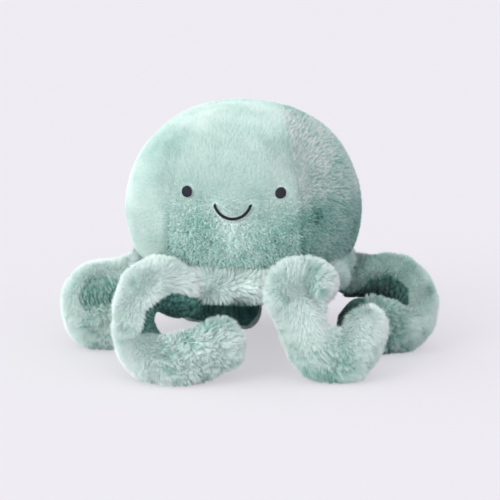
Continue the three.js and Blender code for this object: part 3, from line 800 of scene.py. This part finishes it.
SKIRT_NAP, SHOULDER_NAP, SHOULDER_BEARING, SHOULDER_SPREAD = 0.7, -0.7, math.radians(-115), 0.19
SKIRT_BLOTCH, SKIRT_BLOTCH_SIZE = 0.06, 12
SKIRT_SWIRL, SKIRT_SWIRL_SIZE, SKIRT_SWIRL_SEEDS = 0.4, 11, (34, 35, 36)
SKIRT_ROUGH, SKIRT_ROUGH_SIZE = 0.4, 14
SKIRT_UNEVEN, SKIRT_UNEVEN_SIZE = 0.2, 9
BASE_SEAM, BASE_SEAM_COVER, BASE_SEAM_PILE = 0.06, 0.3, 0.4
ROOT_HEIGHT, ROOT_HOLE = 56.0, (17.0, 8.0)  # half of the hole's width and height
ROOT_BEARINGS = {
    "front_left": -125, "front_right": -62, "right": 0, "back_right": 60, "back_left": 120, "left": 180,
}
SKIRT_PILE = dict(
    Seed=41, Length=0.0052, Width=0.00042, Lean=1.4, Scatter=0.22,
    Tuft_size=0.0027, Tuft_pull=0.65, Shade_scatter=0.08, Groove_shade=0.1,
)


def round_grid(shares, columns):
    """Rows of a ring: the share of each place from the first row to the last, and its bearing."""
    bearings = np.linspace(0, 2 * np.pi, columns, endpoint=False)
    return np.repeat(shares, columns), np.tile(bearings, len(shares))


def off_bearing(bearing, aim):
    return np.angle(np.exp(1j * (bearing - aim)))


share, bearing = round_grid(np.linspace(0, 1, SKIRT_ROWS), SKIRT_COLUMNS)
swing = np.radians(SKIRT_START + SKIRT_SWING * share)
skirt_top = HEM_HEIGHT + HEM_LAP
depth = np.where(swing > 0, SKIRT_TOP_DEPTH, SKIRT_RADIUS - BASE_RADIUS + BASE_LAP)
radius = SKIRT_RADIUS + SKIRT_FULLNESS - depth * (1 - np.cos(swing))
height = (SKIRT_BOTTOM + skirt_top) / 2 + (skirt_top - SKIRT_BOTTOM) / 2 * np.sin(swing)
outward = np.stack([np.cos(bearing), np.sin(bearing), 0 * bearing], 1)
points = outward * radius[:, None] + UP * height[:, None]
bulge = sum(deep * lumps(points, size, seed) for deep, size, seed in SKIRT_LUMPS)
bulge = bulge + FRONT_ROLL * bell(off_bearing(bearing, FRONT_ROLL_BEARING), FRONT_ROLL_SPREAD)
points = points + outward * (bulge * np.sin(np.pi * share))[:, None] + HEAD_CENTRE
skin = new_piece("skirt_plush", points, grid_faces(SKIRT_ROWS, SKIRT_COLUMNS, closed=True))

# No pile grows where the arms come out, and little along the seam of the base
cover = np.where(share < BASE_SEAM, BASE_SEAM_COVER, 1.0)
for degrees in ROOT_BEARINGS.values():
    way = np.array([math.cos(math.radians(degrees)), math.sin(math.radians(degrees)), 0])
    beside = np.array([-way[1], way[0], 0])
    level = points - HEAD_CENTRE
    in_width = np.abs(level @ beside) < ROOT_HOLE[0]
    in_height = np.abs(level[:, 2] - ROOT_HEIGHT) < ROOT_HOLE[1]
    cover[(level @ way > 0) & in_width & in_height] = 0
wander = MINT_WANDER * lumps(points, MINT_WANDER_SIZE, 39)
mint = np.clip((share + wander - MINT_FROM) / MINT_WIDTH, 0, 1)
in_shade = bell(off_bearing(bearing, SHADE_BEARING), SHADE_SPREAD)
by_shoulder = bell(off_bearing(bearing, SHOULDER_BEARING), SHOULDER_SPREAD)[:, None]
round_it = (SKIRT_NAP + (SHOULDER_NAP - SKIRT_NAP) * by_shoulder) * np.cross(UP, outward)
swirl = np.stack([lumps(points, SKIRT_SWIRL_SIZE, seed) for seed in SKIRT_SWIRL_SEEDS], 1)
# painted shade on the skirt's right, away from the key light
tone = SKIRT_TONE + (SKIRT_LIGHT - SKIRT_SHADE * in_shade) * mint
length = BASE_SEAM_PILE + (1 - BASE_SEAM_PILE) * mint
note(
    skin,
    tone=tone + SKIRT_BLOTCH * lumps(points, SKIRT_BLOTCH_SIZE, 33),
    nap=round_it + SKIRT_SWIRL * swirl,
    rough=1 + SKIRT_ROUGH * lumps(points, SKIRT_ROUGH_SIZE, 38),
    pile=length * (1 + SKIRT_UNEVEN * lumps(points, SKIRT_UNEVEN_SIZE, 37)),
    cover=cover,
    **even_comb(points),
)
pile = grow_pile(skin, "skirt_pile", **SKIRT_PILE)
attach(pile, "body")
skirt = with_thickness(skin)
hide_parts("skirt_cover", "skirt_stuffing")
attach(skirt, "body")

BASE_ROWS, BASE_COLUMNS, BASE_MIDDLE = 26, 180, 0.02
BASE_RISE, BASE_SAG, BASE_TONE, BASE_BLOTCH, BASE_BLOTCH_SIZE = 0.4, 1.2, 0.14, 0.06, 8
PLEATS, PLEAT_DEPTH, PLEAT_DRIFT, PLEAT_DRIFTS = 22, 0.9, 1.4, 3
share, bearing = round_grid(np.linspace(BASE_MIDDLE, 1, BASE_ROWS), BASE_COLUMNS)
drift = PLEAT_DRIFT * np.sin(PLEAT_DRIFTS * bearing)
pleats = PLEAT_DEPTH * np.abs(np.sin(PLEATS * bearing + drift)) * share**2
height = SKIRT_BOTTOM + BASE_RISE + pleats - BASE_SAG * (1 - share**2)
flat = np.stack([share * BASE_RADIUS * np.cos(bearing), share * BASE_RADIUS * np.sin(bearing), height], 1)
faces = [face[::-1] for face in grid_faces(BASE_ROWS, BASE_COLUMNS, closed=True)]
base = new_piece("skirt_base_cloth", flat + HEAD_CENTRE, faces)
note(base, tone=BASE_TONE + BASE_BLOTCH * lumps(flat, BASE_BLOTCH_SIZE, 51))
work = bmesh.new()
work.from_mesh(base.data)
middle_rim = [edge for edge in work.edges if edge.is_boundary and edge.verts[0].index < BASE_COLUMNS]
bmesh.ops.holes_fill(work, edges=middle_rim, sides=0)
bmesh.ops.recalc_face_normals(work, faces=work.faces)
if sum(face.normal.z * face.calc_area() for face in work.faces) > 0:
    bmesh.ops.reverse_faces(work, faces=work.faces)
work.to_mesh(base.data)
work.free()
base = with_thickness(base)
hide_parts("skirt_base")
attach(base, "body")

# Arms
# Six stuffed tubes that curl over and stand on the table. Each has a long-piled plush cover on the
# outside of its curl and a darker teal underside, sewn along both sides and gathered by the bend.
ROOT_SIZE, DROP_SIZE, END_THICKNESS = (44.0, 26.0), (33.0, 22.0), 25.0
STUB, STUB_RINGS, STUB_NARROW = (-12.0, -1.5), 6, 0.8  # the start of the arm, inside the skirt
FLOOR_CUT = 0.5
SHOULDER_PUFF, SHOULDER_SEAM, SHOULDER_FULL, SHOULDER_FALLS = 5.0, 0.65, 0.3, 0.25
ARM_SIDES, ROOT_RINGS, TIP_RINGS = 48, 46, 64
END_ANGLES = np.radians([14, 28, 42, 55, 67, 78, 86])
HANDLE, END_HANDLE = 0.55, 0.36  # how far a bend runs straight on, as a share of its reach
ARM_SEAM_DEPTH, ARM_SEAM_SPREAD = 1.3, 2.0
GATHER_PITCH, GATHER_DEPTH, GATHER_SHARPNESS = 5.0, 1.5, 0.7
GATHER_WANDER, GATHER_WANDER_SIZE = 1.6, 18
ARM_LUMP, ARM_LUMP_SIZE, UNDER_SMOOTHER = 0.8, 13, 0.5
WIND_SPREAD, WIND_MORE, WIND_MORE_AT, WIND_MORE_SPREAD = 34.0, 1.4, 0.3, 0.2  # seams wind near the drop
TUFT_GIRTH, TUFT_LENGTH, TIP_TUFT_LENGTH = 14.0, 1.3, 0.9
FOLD_SPREAD, FOLD_SHADE_BEFORE, FOLD_SHADE_SPREAD = 4.0, 5.0, 6.0
FOLD_IN, FOLD_OUT, FOLD_SLANT = (92, 135), (158, 200), (100, 180)  # degrees round the arm
DOWN = np.array([0.0, 0.0, -1.0])

# Where things come in along the root, from 0 to 1, and along the tip, from 0 over 1 where it lies to 2
ROOT_TURNS_OUT, ROOT_HANGS, ROOT_DIM_ENDS = (0, 0.8), (0.75, 1), (0.3, 0.9)
TIP_HANGS, TIP_RAISED, TIP_TUFTS, TIP_CAP, TIP_TRIM = (0, 0.33), (0.8, 1.5), (0.2, 1), (1.8, 2), (0, 0.5)
TIP_DIM_AT, TIP_DIM_SPREAD = 0.95, 0.45
ROOT_ROUGH, DROP_ROUGH, ROUGH_SPREAD = 0.65, 0.4, 0.5

# What an arm has unless its own values say otherwise
USUAL_ARM = dict(
    roll=0, lean=(0, 0),  # how far the arch rolls over, and which way the drop leans
    puff_end=0.9,  # where the puffed shoulder ends, as a share of the way to the drop
    crest=0, inside=0, raised=0,  # how much fuller it is on top, inside its curl and on its end
    end_width=35, twist=0,  # the end's width, and how far the seams wind
    fold=None,  # a fold in the shoulder: where along the arm, its slant and its depth
    under=0.25, under_pile=0.42, nubs=0.6,  # the underside's tone, pile and roughness
    rough_at=1.2, restroked=1.4,  # where the pile is roughest, and where its nap turns
    cap=0, trim=1,  # how much of the end is underside, and how much pile is left on the tip
)
BACK_ARM = dict(
    shoulder=0.3, seam=-20, tone=0.9, dim=(0.05, 0.05), rough=0.8, nap=((0.3, 0.3, -0.8),) * 2, trim=0.3
)

# An arm's own values, seen from its root: how high it arches, where it drops, lies and ends, which way
# its end heads, the middle of its curl, how full its shoulder is, where its seams lie, how light it is,
# how much painted shade it takes near the skirt and where it lies (painted light where that is below zero),
# how rough its tip gets, and its nap at both ends
ARMS = {
    "front_left": dict(
        arch=14, drop=(-32, -21, 40), lie=(-9, -37), end=(32, -34, 12), heading=(1, 0.1, 0.25),
        curl=(6, -4, -36), shoulder=1.0, inside=5, seam=-24, twist=26, tone=0.99, dim=(0.0, 0.04),
        rough=1.4, rough_at=1.5, nap=((0.55, 0.25, -0.8), (0.8, 0.3, -0.1)),
    ),
    "front_right": dict(
        arch=13, drop=(4.4, -26, 42), lean=(0.35, 0), lie=(30, -26), end=(48.4, -20, 24),
        heading=(0.1, 0.1, 1), curl=(20, 2, -34), shoulder=1.4, puff_end=1.1, crest=10, inside=2,
        end_width=26, seam=-40, fold=(38, 10, 8.0), tone=0.92, dim=(-0.07, 0.14),
        rough=1.9, rough_at=0.95, nap=((0.35, 0.3, -0.9), (0.55, 0.2, -0.8)),
    ),
    # This arm's low tone and its dim near the skirt are painted shade: it lies on the side away from the
    # key light
    "right": dict(
        arch=-2, roll=-40, drop=(51, -15, 35), lie=(32, -21), end=(2, -22, 2), heading=(-1, 0.1, 0.25),
        curl=(30, -12, -34), shoulder=-0.2, crest=11, inside=3, raised=5, seam=-36, tone=0.78,
        dim=(0.12, 0.02), rough=1.1, nap=((-0.5, -0.3, 0.3), (0.45, 0.4, -0.65)), restroked=0.3,
        under=0.2, cap=1,
    ),
    "back_right": dict(
        arch=8, drop=(7, 25, 40), lie=(8, 5), end=(4, -20, 2), heading=(-0.1, -1, 0.1), curl=(4, -5, -26),
        **BACK_ARM,
    ),
    "back_left": dict(
        arch=8, drop=(-14, 25, 40), lie=(6, 3), end=(41, -21, 2), heading=(1, -0.5, 0.1),
        curl=(18, -39, -34), under=0.15, **BACK_ARM,
    ),
    # This arm's light underside and its negative dim near the skirt are painted light inside its shaded
    # curl
    "left": dict(
        arch=-7, roll=40, drop=(-43.5, -5, 33), lie=(-27, -10), end=(-4, -9, 2), heading=(1, 0.1, 0.25),
        curl=(-20, 0, -34), shoulder=-0.2, crest=8, inside=9, seam=-6, tone=0.88, dim=(-0.1, 0.04),
        rough=0.9, nap=((0.5, 0.45, -0.65), (0.5, 0.4, -0.7)), under=0.62, under_pile=0.8, nubs=2.0,
    ),
}


def unit(vectors):
    return vectors / np.linalg.norm(vectors, axis=-1, keepdims=True)


def ease(share, low, high):
    """A share that goes smoothly from 0 at low to 1 at high."""
    t = np.clip((share - low) / (high - low), 0, 1)
    return t * t * (3 - 2 * t)


def bend(corners, share):
    """Places and directions along a Bezier curve."""
    a, b, c, d = (np.asarray(p, float) for p in corners)
    t = np.asarray(share, float)[:, None]
    place = (1 - t) ** 3 * a + 3 * (1 - t) ** 2 * t * b + 3 * (1 - t) * t**2 * c + t**3 * d
    way = (1 - t) ** 2 * (b - a) + 2 * (1 - t) * t * (c - b) + t**2 * (d - c)
    return place, unit(way)


def turned_about(vectors, axes, angles):
    c, s = np.cos(angles)[:, None], np.sin(angles)[:, None]
    along = (vectors * axes).sum(1, keepdims=True)
    return vectors * c + np.cross(axes, vectors) * s + axes * along * (1 - c)


def stretch(centre, along, up, **sizes):
    """A stretch of arm: its rings' middles, axes and sizes."""
    level = unit(up - along * (up * along).sum(1, keepdims=True))
    return SimpleNamespace(centre=centre, along=along, up=level, side=np.cross(along, level), **sizes)


def puff(arm, share):
    """How much fuller the shoulder is: drawn in at its seam, full on its crest, gone further down."""
    drawn_in = SHOULDER_SEAM + (1 - SHOULDER_SEAM) * ease(share, 0, SHOULDER_FULL)
    return arm.shoulder * SHOULDER_PUFF * drawn_in * (1 - ease(share, SHOULDER_FALLS, arm.puff_end))


def strokes(arm, share):
    """Which way the hand last stroked the pile, from the arm's root to its tip."""
    first, last = (np.array(way, float) for way in arm.nap)
    return first + (last - first) * ease(share, arm.restroked, arm.restroked + 1)[:, None]


def root_stretch(arm, outward):
    """From inside the skirt to the drop, seen from the arm's root. Its share runs from 0 to 1."""
    drop = np.array(arm.drop, float) - UP * ROOT_HEIGHT
    slope = math.atan2(arm.arch, ROOT_SIZE[1])
    start = (outward * math.cos(slope) + UP * math.sin(slope)) * (HANDLE * math.hypot(drop[0], drop[1]))
    descent = np.array([*arm.lean, -1.0])
    share = np.linspace(0, 1, ROOT_RINGS)
    centre, along = bend((np.zeros(3), start, drop + descent * (drop[2] - arm.arch), drop), share)
    away = unit(centre - np.array(arm.curl, float))
    up = UP + (away - UP) * ease(share, *ROOT_TURNS_OUT)[:, None]
    up = turned_about(up, along, math.radians(arm.roll) * np.sin(np.pi * share))
    along = unit(along + (DOWN - along) * ease(share, *ROOT_HANGS)[:, None])
    width, thickness = (a + (b - a) * share for a, b in zip(ROOT_SIZE, DROP_SIZE))

    def with_stub(values):
        return np.concatenate([np.repeat(values[:1], STUB_RINGS, 0), values])

    stub = np.linspace(*STUB, STUB_RINGS)
    centre = np.concatenate([centre[0] + along[0] * stub[:, None], centre])
    narrow = np.concatenate([np.linspace(STUB_NARROW, 1, STUB_RINGS), np.ones(ROOT_RINGS)])
    share, along, up, width, thickness = map(with_stub, (share, along, up, width, thickness))
    puffed = puff(arm, share)
    centre = centre + up * puffed[:, None]
    return stretch(
        centre, along, up,
        width=width * narrow + puffed,
        thickness=thickness * narrow + puffed,
        wind=bell(centre[:, 2] - drop[2], WIND_SPREAD),
        nap=strokes(arm, share),
        raised=0 * share,
        rough=ROOT_ROUGH - (ROOT_ROUGH - DROP_ROUGH) * share,
        # painted shade near the skirt, fading towards the drop; below zero it is painted light
        dim=arm.dim[0] * (1 - ease(share, *ROOT_DIM_ENDS)),
        cap=0 * share,
        tuft=TUFT_LENGTH + 0 * share,
        trim=1 + 0 * share,
        fold=arm.fold,
        from_root=0,
    )


def tip_stretch(arm, lying, from_root):
    """From the drop to the rounded end, seen from the drop. Its share is 1 where it lies, 2 at the end."""
    drop = np.array(arm.drop, float)
    low = np.array([0, 0, lying - drop[2]])
    lie = np.array([*arm.lie, 0.0]) - [drop[0], drop[1], 0] + low
    end = np.array(arm.end, float) - [drop[0], drop[1], 0] + low
    heading = unit(np.array(arm.heading, float))
    onward = unit(np.array([end[0], end[1], 0.0]))
    run = END_HANDLE * np.linalg.norm(end - lie)
    descent = np.array([*arm.lean, -1.0]) * (-HANDLE * lie[2])
    share = np.linspace(0, 2, TIP_RINGS)
    landing = lie - onward * HANDLE * math.hypot(lie[0], lie[1])
    first = bend((np.zeros(3), descent, landing, lie), share[share <= 1])
    then = bend((lie, lie + onward * run, end - heading * run, end), share[share > 1] - 1)
    centre, along = (np.concatenate(pair) for pair in zip(first, then))
    up = unit(centre - (np.array(arm.curl, float) - (drop - UP * ROOT_HEIGHT)))
    along = unit(along + (DOWN - along) * (1 - ease(share, *TIP_HANGS))[:, None])
    width, thickness = (a + (b - a) * share / 2 for a, b in zip(DROP_SIZE, (arm.end_width, END_THICKNESS)))

    def with_end(values):
        return np.concatenate([values, np.repeat(values[-1:], len(END_ANGLES), 0)])

    reach = thickness[-1] / 2 * np.sin(END_ANGLES)
    centre = np.concatenate([centre, centre[-1] + along[-1] * reach[:, None]])
    taper = np.concatenate([np.ones(TIP_RINGS), np.cos(END_ANGLES)])
    share, along, up, width, thickness = map(with_end, (share, along, up, width, thickness))
    puffed = puff(arm, 1 + share)
    centre = centre + up * puffed[:, None]
    return stretch(
        centre, along, up,
        width=width * taper + puffed,
        thickness=thickness * taper + puffed,
        wind=bell(centre[:, 2], WIND_SPREAD) + WIND_MORE * bell(share - WIND_MORE_AT, WIND_MORE_SPREAD),
        nap=strokes(arm, 1 + share),
        raised=arm.raised * ease(share, *TIP_RAISED),
        rough=DROP_ROUGH + arm.rough * bell(share - arm.rough_at, ROUGH_SPREAD),
        # painted shade round where the tip comes down to lie; below zero it is painted light
        dim=arm.dim[1] * bell(share - TIP_DIM_AT, TIP_DIM_SPREAD),
        cap=arm.cap * ease(share, *TIP_CAP),
        tuft=TUFT_LENGTH + TIP_TUFT_LENGTH * ease(share, *TIP_TUFTS),
        trim=1 - (1 - arm.trim) * ease(share, *TIP_TRIM),
        fold=None,
        from_root=from_root,
    )


def all_round(values):
    """The value of each ring for every point of it."""
    return np.repeat(values, ARM_SIDES, 0)


def arm_form(arm, s, seed, origin):
    """The skin along a stretch, with seams, gathers, lumps and a fold, and where each of them is."""
    angle = np.tile(np.linspace(0, 2 * np.pi, ARM_SIDES, endpoint=False), len(s.centre))
    width, thickness, side, up = map(all_round, (s.width, s.thickness, s.side, s.up))
    full = np.clip(thickness / thickness.max() * 2 - 1, 0, 1)
    steep = side[:, 2]
    across = width / 2 * np.cos(angle)
    across = across + arm.crest * steep * full * np.clip(np.cos(angle) * np.sign(steep), 0, 1) ** 2
    high = thickness / 2 * np.sin(angle) - arm.inside * full * np.clip(-np.sin(angle), 0, 1)
    slope = unit(np.stack([np.cos(angle) * thickness, np.sin(angle) * width], 1))
    normal = side * slope[:, :1] + up * slope[:, 1:]
    points = all_round(s.centre) + side * across[:, None] + up * high[:, None]
    place = points + origin
    steps = np.linalg.norm(np.diff(s.centre, axis=0), axis=1)
    run = all_round(np.concatenate([[0], np.cumsum(steps)])) + s.from_root

    seam = math.radians(arm.seam)
    wound = angle + math.radians(arm.twist) * all_round(s.wind)
    from_seam = np.abs(np.arcsin(np.sin(wound)) - seam) * thickness / 2
    under = np.clip((math.sin(seam) - np.sin(wound)) / (1 + math.sin(seam)), 0, 1)
    phase = np.pi * run / GATHER_PITCH + GATHER_WANDER * lumps(place, GATHER_WANDER_SIZE, seed)
    gathers = (1 - np.abs(np.sin(phase)) ** GATHER_SHARPNESS) * under**0.5 * (1 - arm.under_pile)
    lift = -ARM_SEAM_DEPTH * bell(from_seam, ARM_SEAM_SPREAD) - GATHER_DEPTH * gathers
    lift = lift * full + ARM_LUMP * lumps(place, ARM_LUMP_SIZE, seed + 1) * (1 - UNDER_SMOOTHER * under)
    lift = lift + all_round(s.raised) * np.clip(normal[:, 2], 0, 1)
    tucked = shaded = np.zeros(len(points))
    if s.fold:
        start, slant, deep = s.fold
        turn = np.degrees(angle)
        weight = ease(turn, *FOLD_IN) * (1 - ease(turn, *FOLD_OUT))
        after = run - start - slant * ease(turn, *FOLD_SLANT)
        tucked = bell(after, FOLD_SPREAD) * weight
        # the band on the shoulder side of the fold that takes painted shade
        shaded = bell(after + FOLD_SHADE_BEFORE, FOLD_SHADE_SPREAD) * weight
        lift = lift - deep * tucked
    return SimpleNamespace(
        points=points + normal * lift[:, None], normal=normal, place=place, angle=angle, run=run,
        under=under, gathers=gathers, tucked=tucked, shaded=shaded,
    )


# Painted shade: a contact shadow within this height of the table, in the underside's gathers, and on the
# shoulder side of a fold
BY_TABLE, BY_TABLE_SHADE = 7.0, 0.08
GATHER_SHADE, FOLD_SHADE, FOLD_TRIM = 0.25, 0.16, 0.6
UNDER_EDGE, UNDER_EDGE_WANDER, UNDER_EDGE_WANDER_SIZE = 0.14, 0.05, 6
ARM_BLOTCH, ARM_BLOTCH_SIZE = 0.05, 11
ARM_NAP, ASTRAY, ASTRAY_SIZE, ASTRAY_LIMITS = 0.85, 0.32, 10, (0.2, 1.2)
ROUGH_PATCH, ROUGH_PATCH_SIZE, ROUGH_STANDS_UP = 0.45, 24, 0.4
ARM_UNEVEN, ARM_UNEVEN_SIZE = 0.15, 8
TUFT_WANDER, TUFT_WANDER_SIZE, TUFT_SWAY, TUFT_SWAY_SIZE = 1.5, 9, 1.2, 14


def arm_looks(arm, s, form, seed):
    """What the pile of a stretch needs: tone, nap, roughness and length, and how its tufts lie."""
    place, normal = form.place, form.normal
    wander = UNDER_EDGE_WANDER * lumps(place, UNDER_EDGE_WANDER_SIZE, seed + 8)
    turned_under = ease(form.under + wander, 0.0, UNDER_EDGE)
    turned_under = np.maximum(turned_under, all_round(s.cap))
    # the arm's tone less its painted shade near the skirt and where it lies, or plus painted light where
    # dim is below zero
    tone = all_round(arm.tone - s.dim)
    # the underside keeps its own darker teal, with painted shade in the valleys of its gathers
    tone = tone + (arm.under - GATHER_SHADE * form.gathers - tone) * turned_under
    # painted shade on the shoulder side of a fold
    tone = tone + ARM_BLOTCH * lumps(place, ARM_BLOTCH_SIZE, seed + 2) - FOLD_SHADE * form.shaded
    # a painted contact shadow along the bottom, near the table
    tone = tone - BY_TABLE_SHADE * np.clip(1 - place[:, 2] / BY_TABLE, 0, 1)

    stroked = all_round(s.nap)
    nap = ARM_NAP * (stroked - normal * (normal * stroked).sum(1, keepdims=True))
    rough = all_round(s.rough) * (1 + ROUGH_PATCH * lumps(place, ROUGH_PATCH_SIZE, seed + 7))
    rough = rough * (1 + arm.nubs * turned_under)
    astray = np.stack([lumps(place, ASTRAY_SIZE, seed + 3 + k) for k in range(3)], 1)
    astray = astray * np.clip(rough, *ASTRAY_LIMITS)[:, None]
    nap = (nap + ASTRAY * astray) * (1 + ROUGH_STANDS_UP - ROUGH_STANDS_UP * rough)[:, None]
    length = 1 + (arm.under_pile - 1) * turned_under
    length = length * (1 + ARM_UNEVEN * lumps(place, ARM_UNEVEN_SIZE, seed + 6))
    length = length * (1 - FOLD_TRIM * form.tucked) * all_round(s.trim)

    # The tufts are laid out along the arm and round it, longer than they are wide
    lengthwise = (form.run - s.from_root) / all_round(s.tuft)
    lengthwise = lengthwise + TUFT_WANDER * lumps(place, TUFT_WANDER_SIZE, seed + 9)
    sidewise = TUFT_GIRTH * np.cos(form.angle) + TUFT_SWAY * lumps(place, TUFT_SWAY_SIZE, seed + 12)
    comb = np.stack([lengthwise, sidewise, TUFT_GIRTH * np.sin(form.angle)], 1) * MM
    axes = dict(comb_x=all_round(s.along), comb_y=all_round(s.side), comb_z=all_round(s.up))
    return dict(tone=tone, nap=nap, rough=rough, pile=length, comb=comb, **axes)


def settled(points):
    """Plush pressed flat where it lies on the table."""
    rest, soft = 0.4, 0.5
    lying = rest + soft * np.logaddexp(0, (points[:, 2] - rest) / soft)
    return np.column_stack([points[:, :2], lying])


def close_ends(work):
    """Closes the open ends of a stuffed tube, with a crisp rim."""
    rims = [edge for edge in work.edges if edge.is_boundary]
    for edge in rims:
        edge.smooth = False
    bmesh.ops.holes_fill(work, edges=rims, sides=0)


ARM_PILE = dict(
    Length=0.0046, Width=0.00042, Lean=0.85, Scatter=0.32,
    Tuft_size=0.0021, Tuft_pull=0.75, Shade_scatter=0.1, Groove_shade=0.2,
)
ARM_SEED, SEEDS_PER_ARM = 60, 20
SETTLING_STEPS = 6
BARE_IN_SKIRT = 4.0  # no pile grows deeper inside the skirt than this
LIFT_START, LIFT_END = -6.0, 16.0  # a span outwards at the arm's root
TWIST_START, TWIST_END = 10.0, 28.0  # and a span below the drop,
TWIST_ONWARD, TWIST_DOWN = 0.6, 0.8  # counted this much onwards and this much down
for turn, (name, own) in enumerate(ARMS.items()):
    arm = SimpleNamespace(**(USUAL_ARM | own))
    seed = ARM_SEED + SEEDS_PER_ARM * turn
    bearing = math.radians(ROOT_BEARINGS[name])
    outward = np.array([math.cos(bearing), math.sin(bearing), 0.0])
    root = HEAD_CENTRE + outward * SKIRT_RADIUS + UP * ROOT_HEIGHT
    drop = root + np.array(arm.drop, float) - UP * ROOT_HEIGHT
    near = root_stretch(arm, outward)
    root_length = np.linalg.norm(np.diff(near.centre, axis=0), axis=1).sum()
    lying = arm.end_width / 2
    for _ in range(SETTLING_STEPS):
        far = tip_stretch(arm, lying, root_length)
        lowest = drop[2] + arm_form(arm, far, seed, drop).points[:, 2].min()
        lying -= lowest + FLOOR_CUT
    onward = unit(unit(far.centre[-1] * [1, 1, 0]) * TWIST_ONWARD + DOWN * TWIST_DOWN)

    halves = (
        ("arm", near, root, "body", outward * LIFT_START, outward * LIFT_END),
        ("tip", far, drop, f"{name}_arm", onward * TWIST_START, onward * TWIST_END),
    )
    for half, part, origin, held_by, start, end in halves:
        form = arm_form(arm, part, seed, origin)
        points = form.points + origin
        cover = np.ones(len(points))
        if half == "arm":
            cover[(points - HEAD_CENTRE) @ outward <= SKIRT_RADIUS - BARE_IN_SKIRT] = 0
        else:
            points = settled(points)
        # The rings run clockwise as the arm goes on, so their faces are turned over to point outwards
        faces = [face[::-1] for face in grid_faces(len(part.centre), ARM_SIDES, closed=True)]
        skin = new_piece(f"{name}_{half}_plush", points, faces)
        note(skin, **arm_looks(arm, part, form, seed), cover=cover)
        pile = grow_pile(skin, f"{name}_{half}_pile", Seed=seed + (half == "tip"), **ARM_PILE)
        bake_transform(pile)
        reworked(skin, close_ends).data.materials.append(CLOTH_FINISH)
        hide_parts(f"{name}_{half}_cover", f"{name}_{half}_underside", f"{name}_{half}_stuffing")
        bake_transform(skin)

bpy.data.objects.remove(STRAND)

# Table and light
# The toy stands on a plain pale table top that runs on as its backdrop, in soft studio light that
# comes from above on the left and from all round.
TABLE_COLOUR, BACKDROP_COLOUR = srgb(216, 219, 222), srgb(236, 235, 241)
PALE_SHADOW = 0.62  # how much of the backdrop's own paleness the camera sees in the shadows
TABLE_HALF = 14000.0
points = np.array([[-1, -1, 0], [1, -1, 0], [1, 1, 0], [-1, 1, 0]]) * TABLE_HALF
table = new_piece("table_top", points, [(0, 1, 2, 3)])
finish, tree, shader = new_finish(
    "table_paint", Roughness=0.85, Specular_IOR_Level=0.1, Base_Color=TABLE_COLOUR
)
glow = add(tree, "ShaderNodeEmission", {"Color": BACKDROP_COLOUR})[0]
ray = add(tree, "ShaderNodeLightPath")
share = add(tree, "ShaderNodeMath", {0: ray["Is Camera Ray"], 1: PALE_SHADOW}, operation="MULTIPLY")[0]
shown = add(tree, "ShaderNodeMixShader", {0: share, 1: shader.outputs[0], 2: glow})[0]
tree.links.new(shown, tree.nodes["Material Output"].inputs["Surface"])
table.data.materials.append(finish)

KEY_FROM, FILL_FROM = Vector((-0.55, -0.66, 0.51)).normalized(), Vector((0.88, 0.1, 0.42))
SKY_DARK, SKY_LIGHT, SKY_STRENGTH = srgb(214, 186, 218), srgb(255, 254, 250), (0.2, 1.7)
SKY_TURN = (-0.7, 1.0)  # how much a way points to the key light, at the sky's darkest and lightest
world = bpy.data.worlds.new("studio")
world.use_nodes = True
bpy.context.scene.world = world
tree = world.node_tree
way = add(tree, "ShaderNodeTexCoord")["Generated"]
towards = add(tree, "ShaderNodeVectorMath", {0: way, 1: KEY_FROM}, operation="DOT_PRODUCT")["Value"]
lit = remapped(tree, towards, SKY_TURN, how="SMOOTHSTEP")
sky = tree.nodes["Background"]
tree.links.new(mixed(tree, lit, SKY_DARK, SKY_LIGHT), sky.inputs["Color"])
tree.links.new(remapped(tree, lit, new=SKY_STRENGTH), sky.inputs["Strength"])
seen = add(tree, "ShaderNodeBackground", {"Color": BACKDROP_COLOUR})[0]
ray = add(tree, "ShaderNodeLightPath")
inputs = {0: ray["Is Camera Ray"], 1: ray["Is Glossy Ray"]}
either = add(tree, "ShaderNodeMath", inputs, operation="MAXIMUM")[0]
shown = add(tree, "ShaderNodeMixShader", {0: either, 1: sky.outputs[0], 2: seen})[0]
tree.links.new(shown, tree.nodes["World Output"].inputs["Surface"])


def face_from(made, way):
    """Turns a lamp or the camera so that it looks from that way."""
    made.rotation_mode = "QUATERNION"
    made.rotation_quaternion = way.to_track_quat("Z", "Y")


LAMPS = {
    "key": (KEY_FROM, 1.05, math.radians(32), (1.0, 0.985, 0.965)),
    "fill": (FILL_FROM, 0.6, math.radians(90), (1.0, 0.6, 0.82)),
}
for name, (comes_from, energy, softness, colour) in LAMPS.items():
    lamp = bpy.data.lights.new(name, "SUN")
    lamp.energy, lamp.angle, lamp.color = energy, softness, colour
    face_from(put_in_scene(name, lamp), comes_from)

# Camera
# A long lens a little above the toy's middle, square on to its front.
CAMERA_ASIDE, CAMERA_HEIGHT, CAMERA_DISTANCE, CAMERA_ELEVATION = 1.0, 74.0, 1300.0, math.radians(12)
lens = bpy.data.cameras.new("camera")
lens.sensor_width, lens.lens = 36.0, 124.8
lens.clip_start, lens.clip_end = 0.05, 60.0
camera = put_in_scene("camera", lens)
back = Vector((0, -math.cos(CAMERA_ELEVATION), math.sin(CAMERA_ELEVATION)))
aim = Vector((CAMERA_ASIDE * MM, HEAD_CENTRE[1] * MM, CAMERA_HEIGHT * MM))
camera.location = aim + back * CAMERA_DISTANCE * MM
face_from(camera, back)
bpy.context.scene.camera = camera
bpy.context.scene.view_settings.view_transform = "Standard"
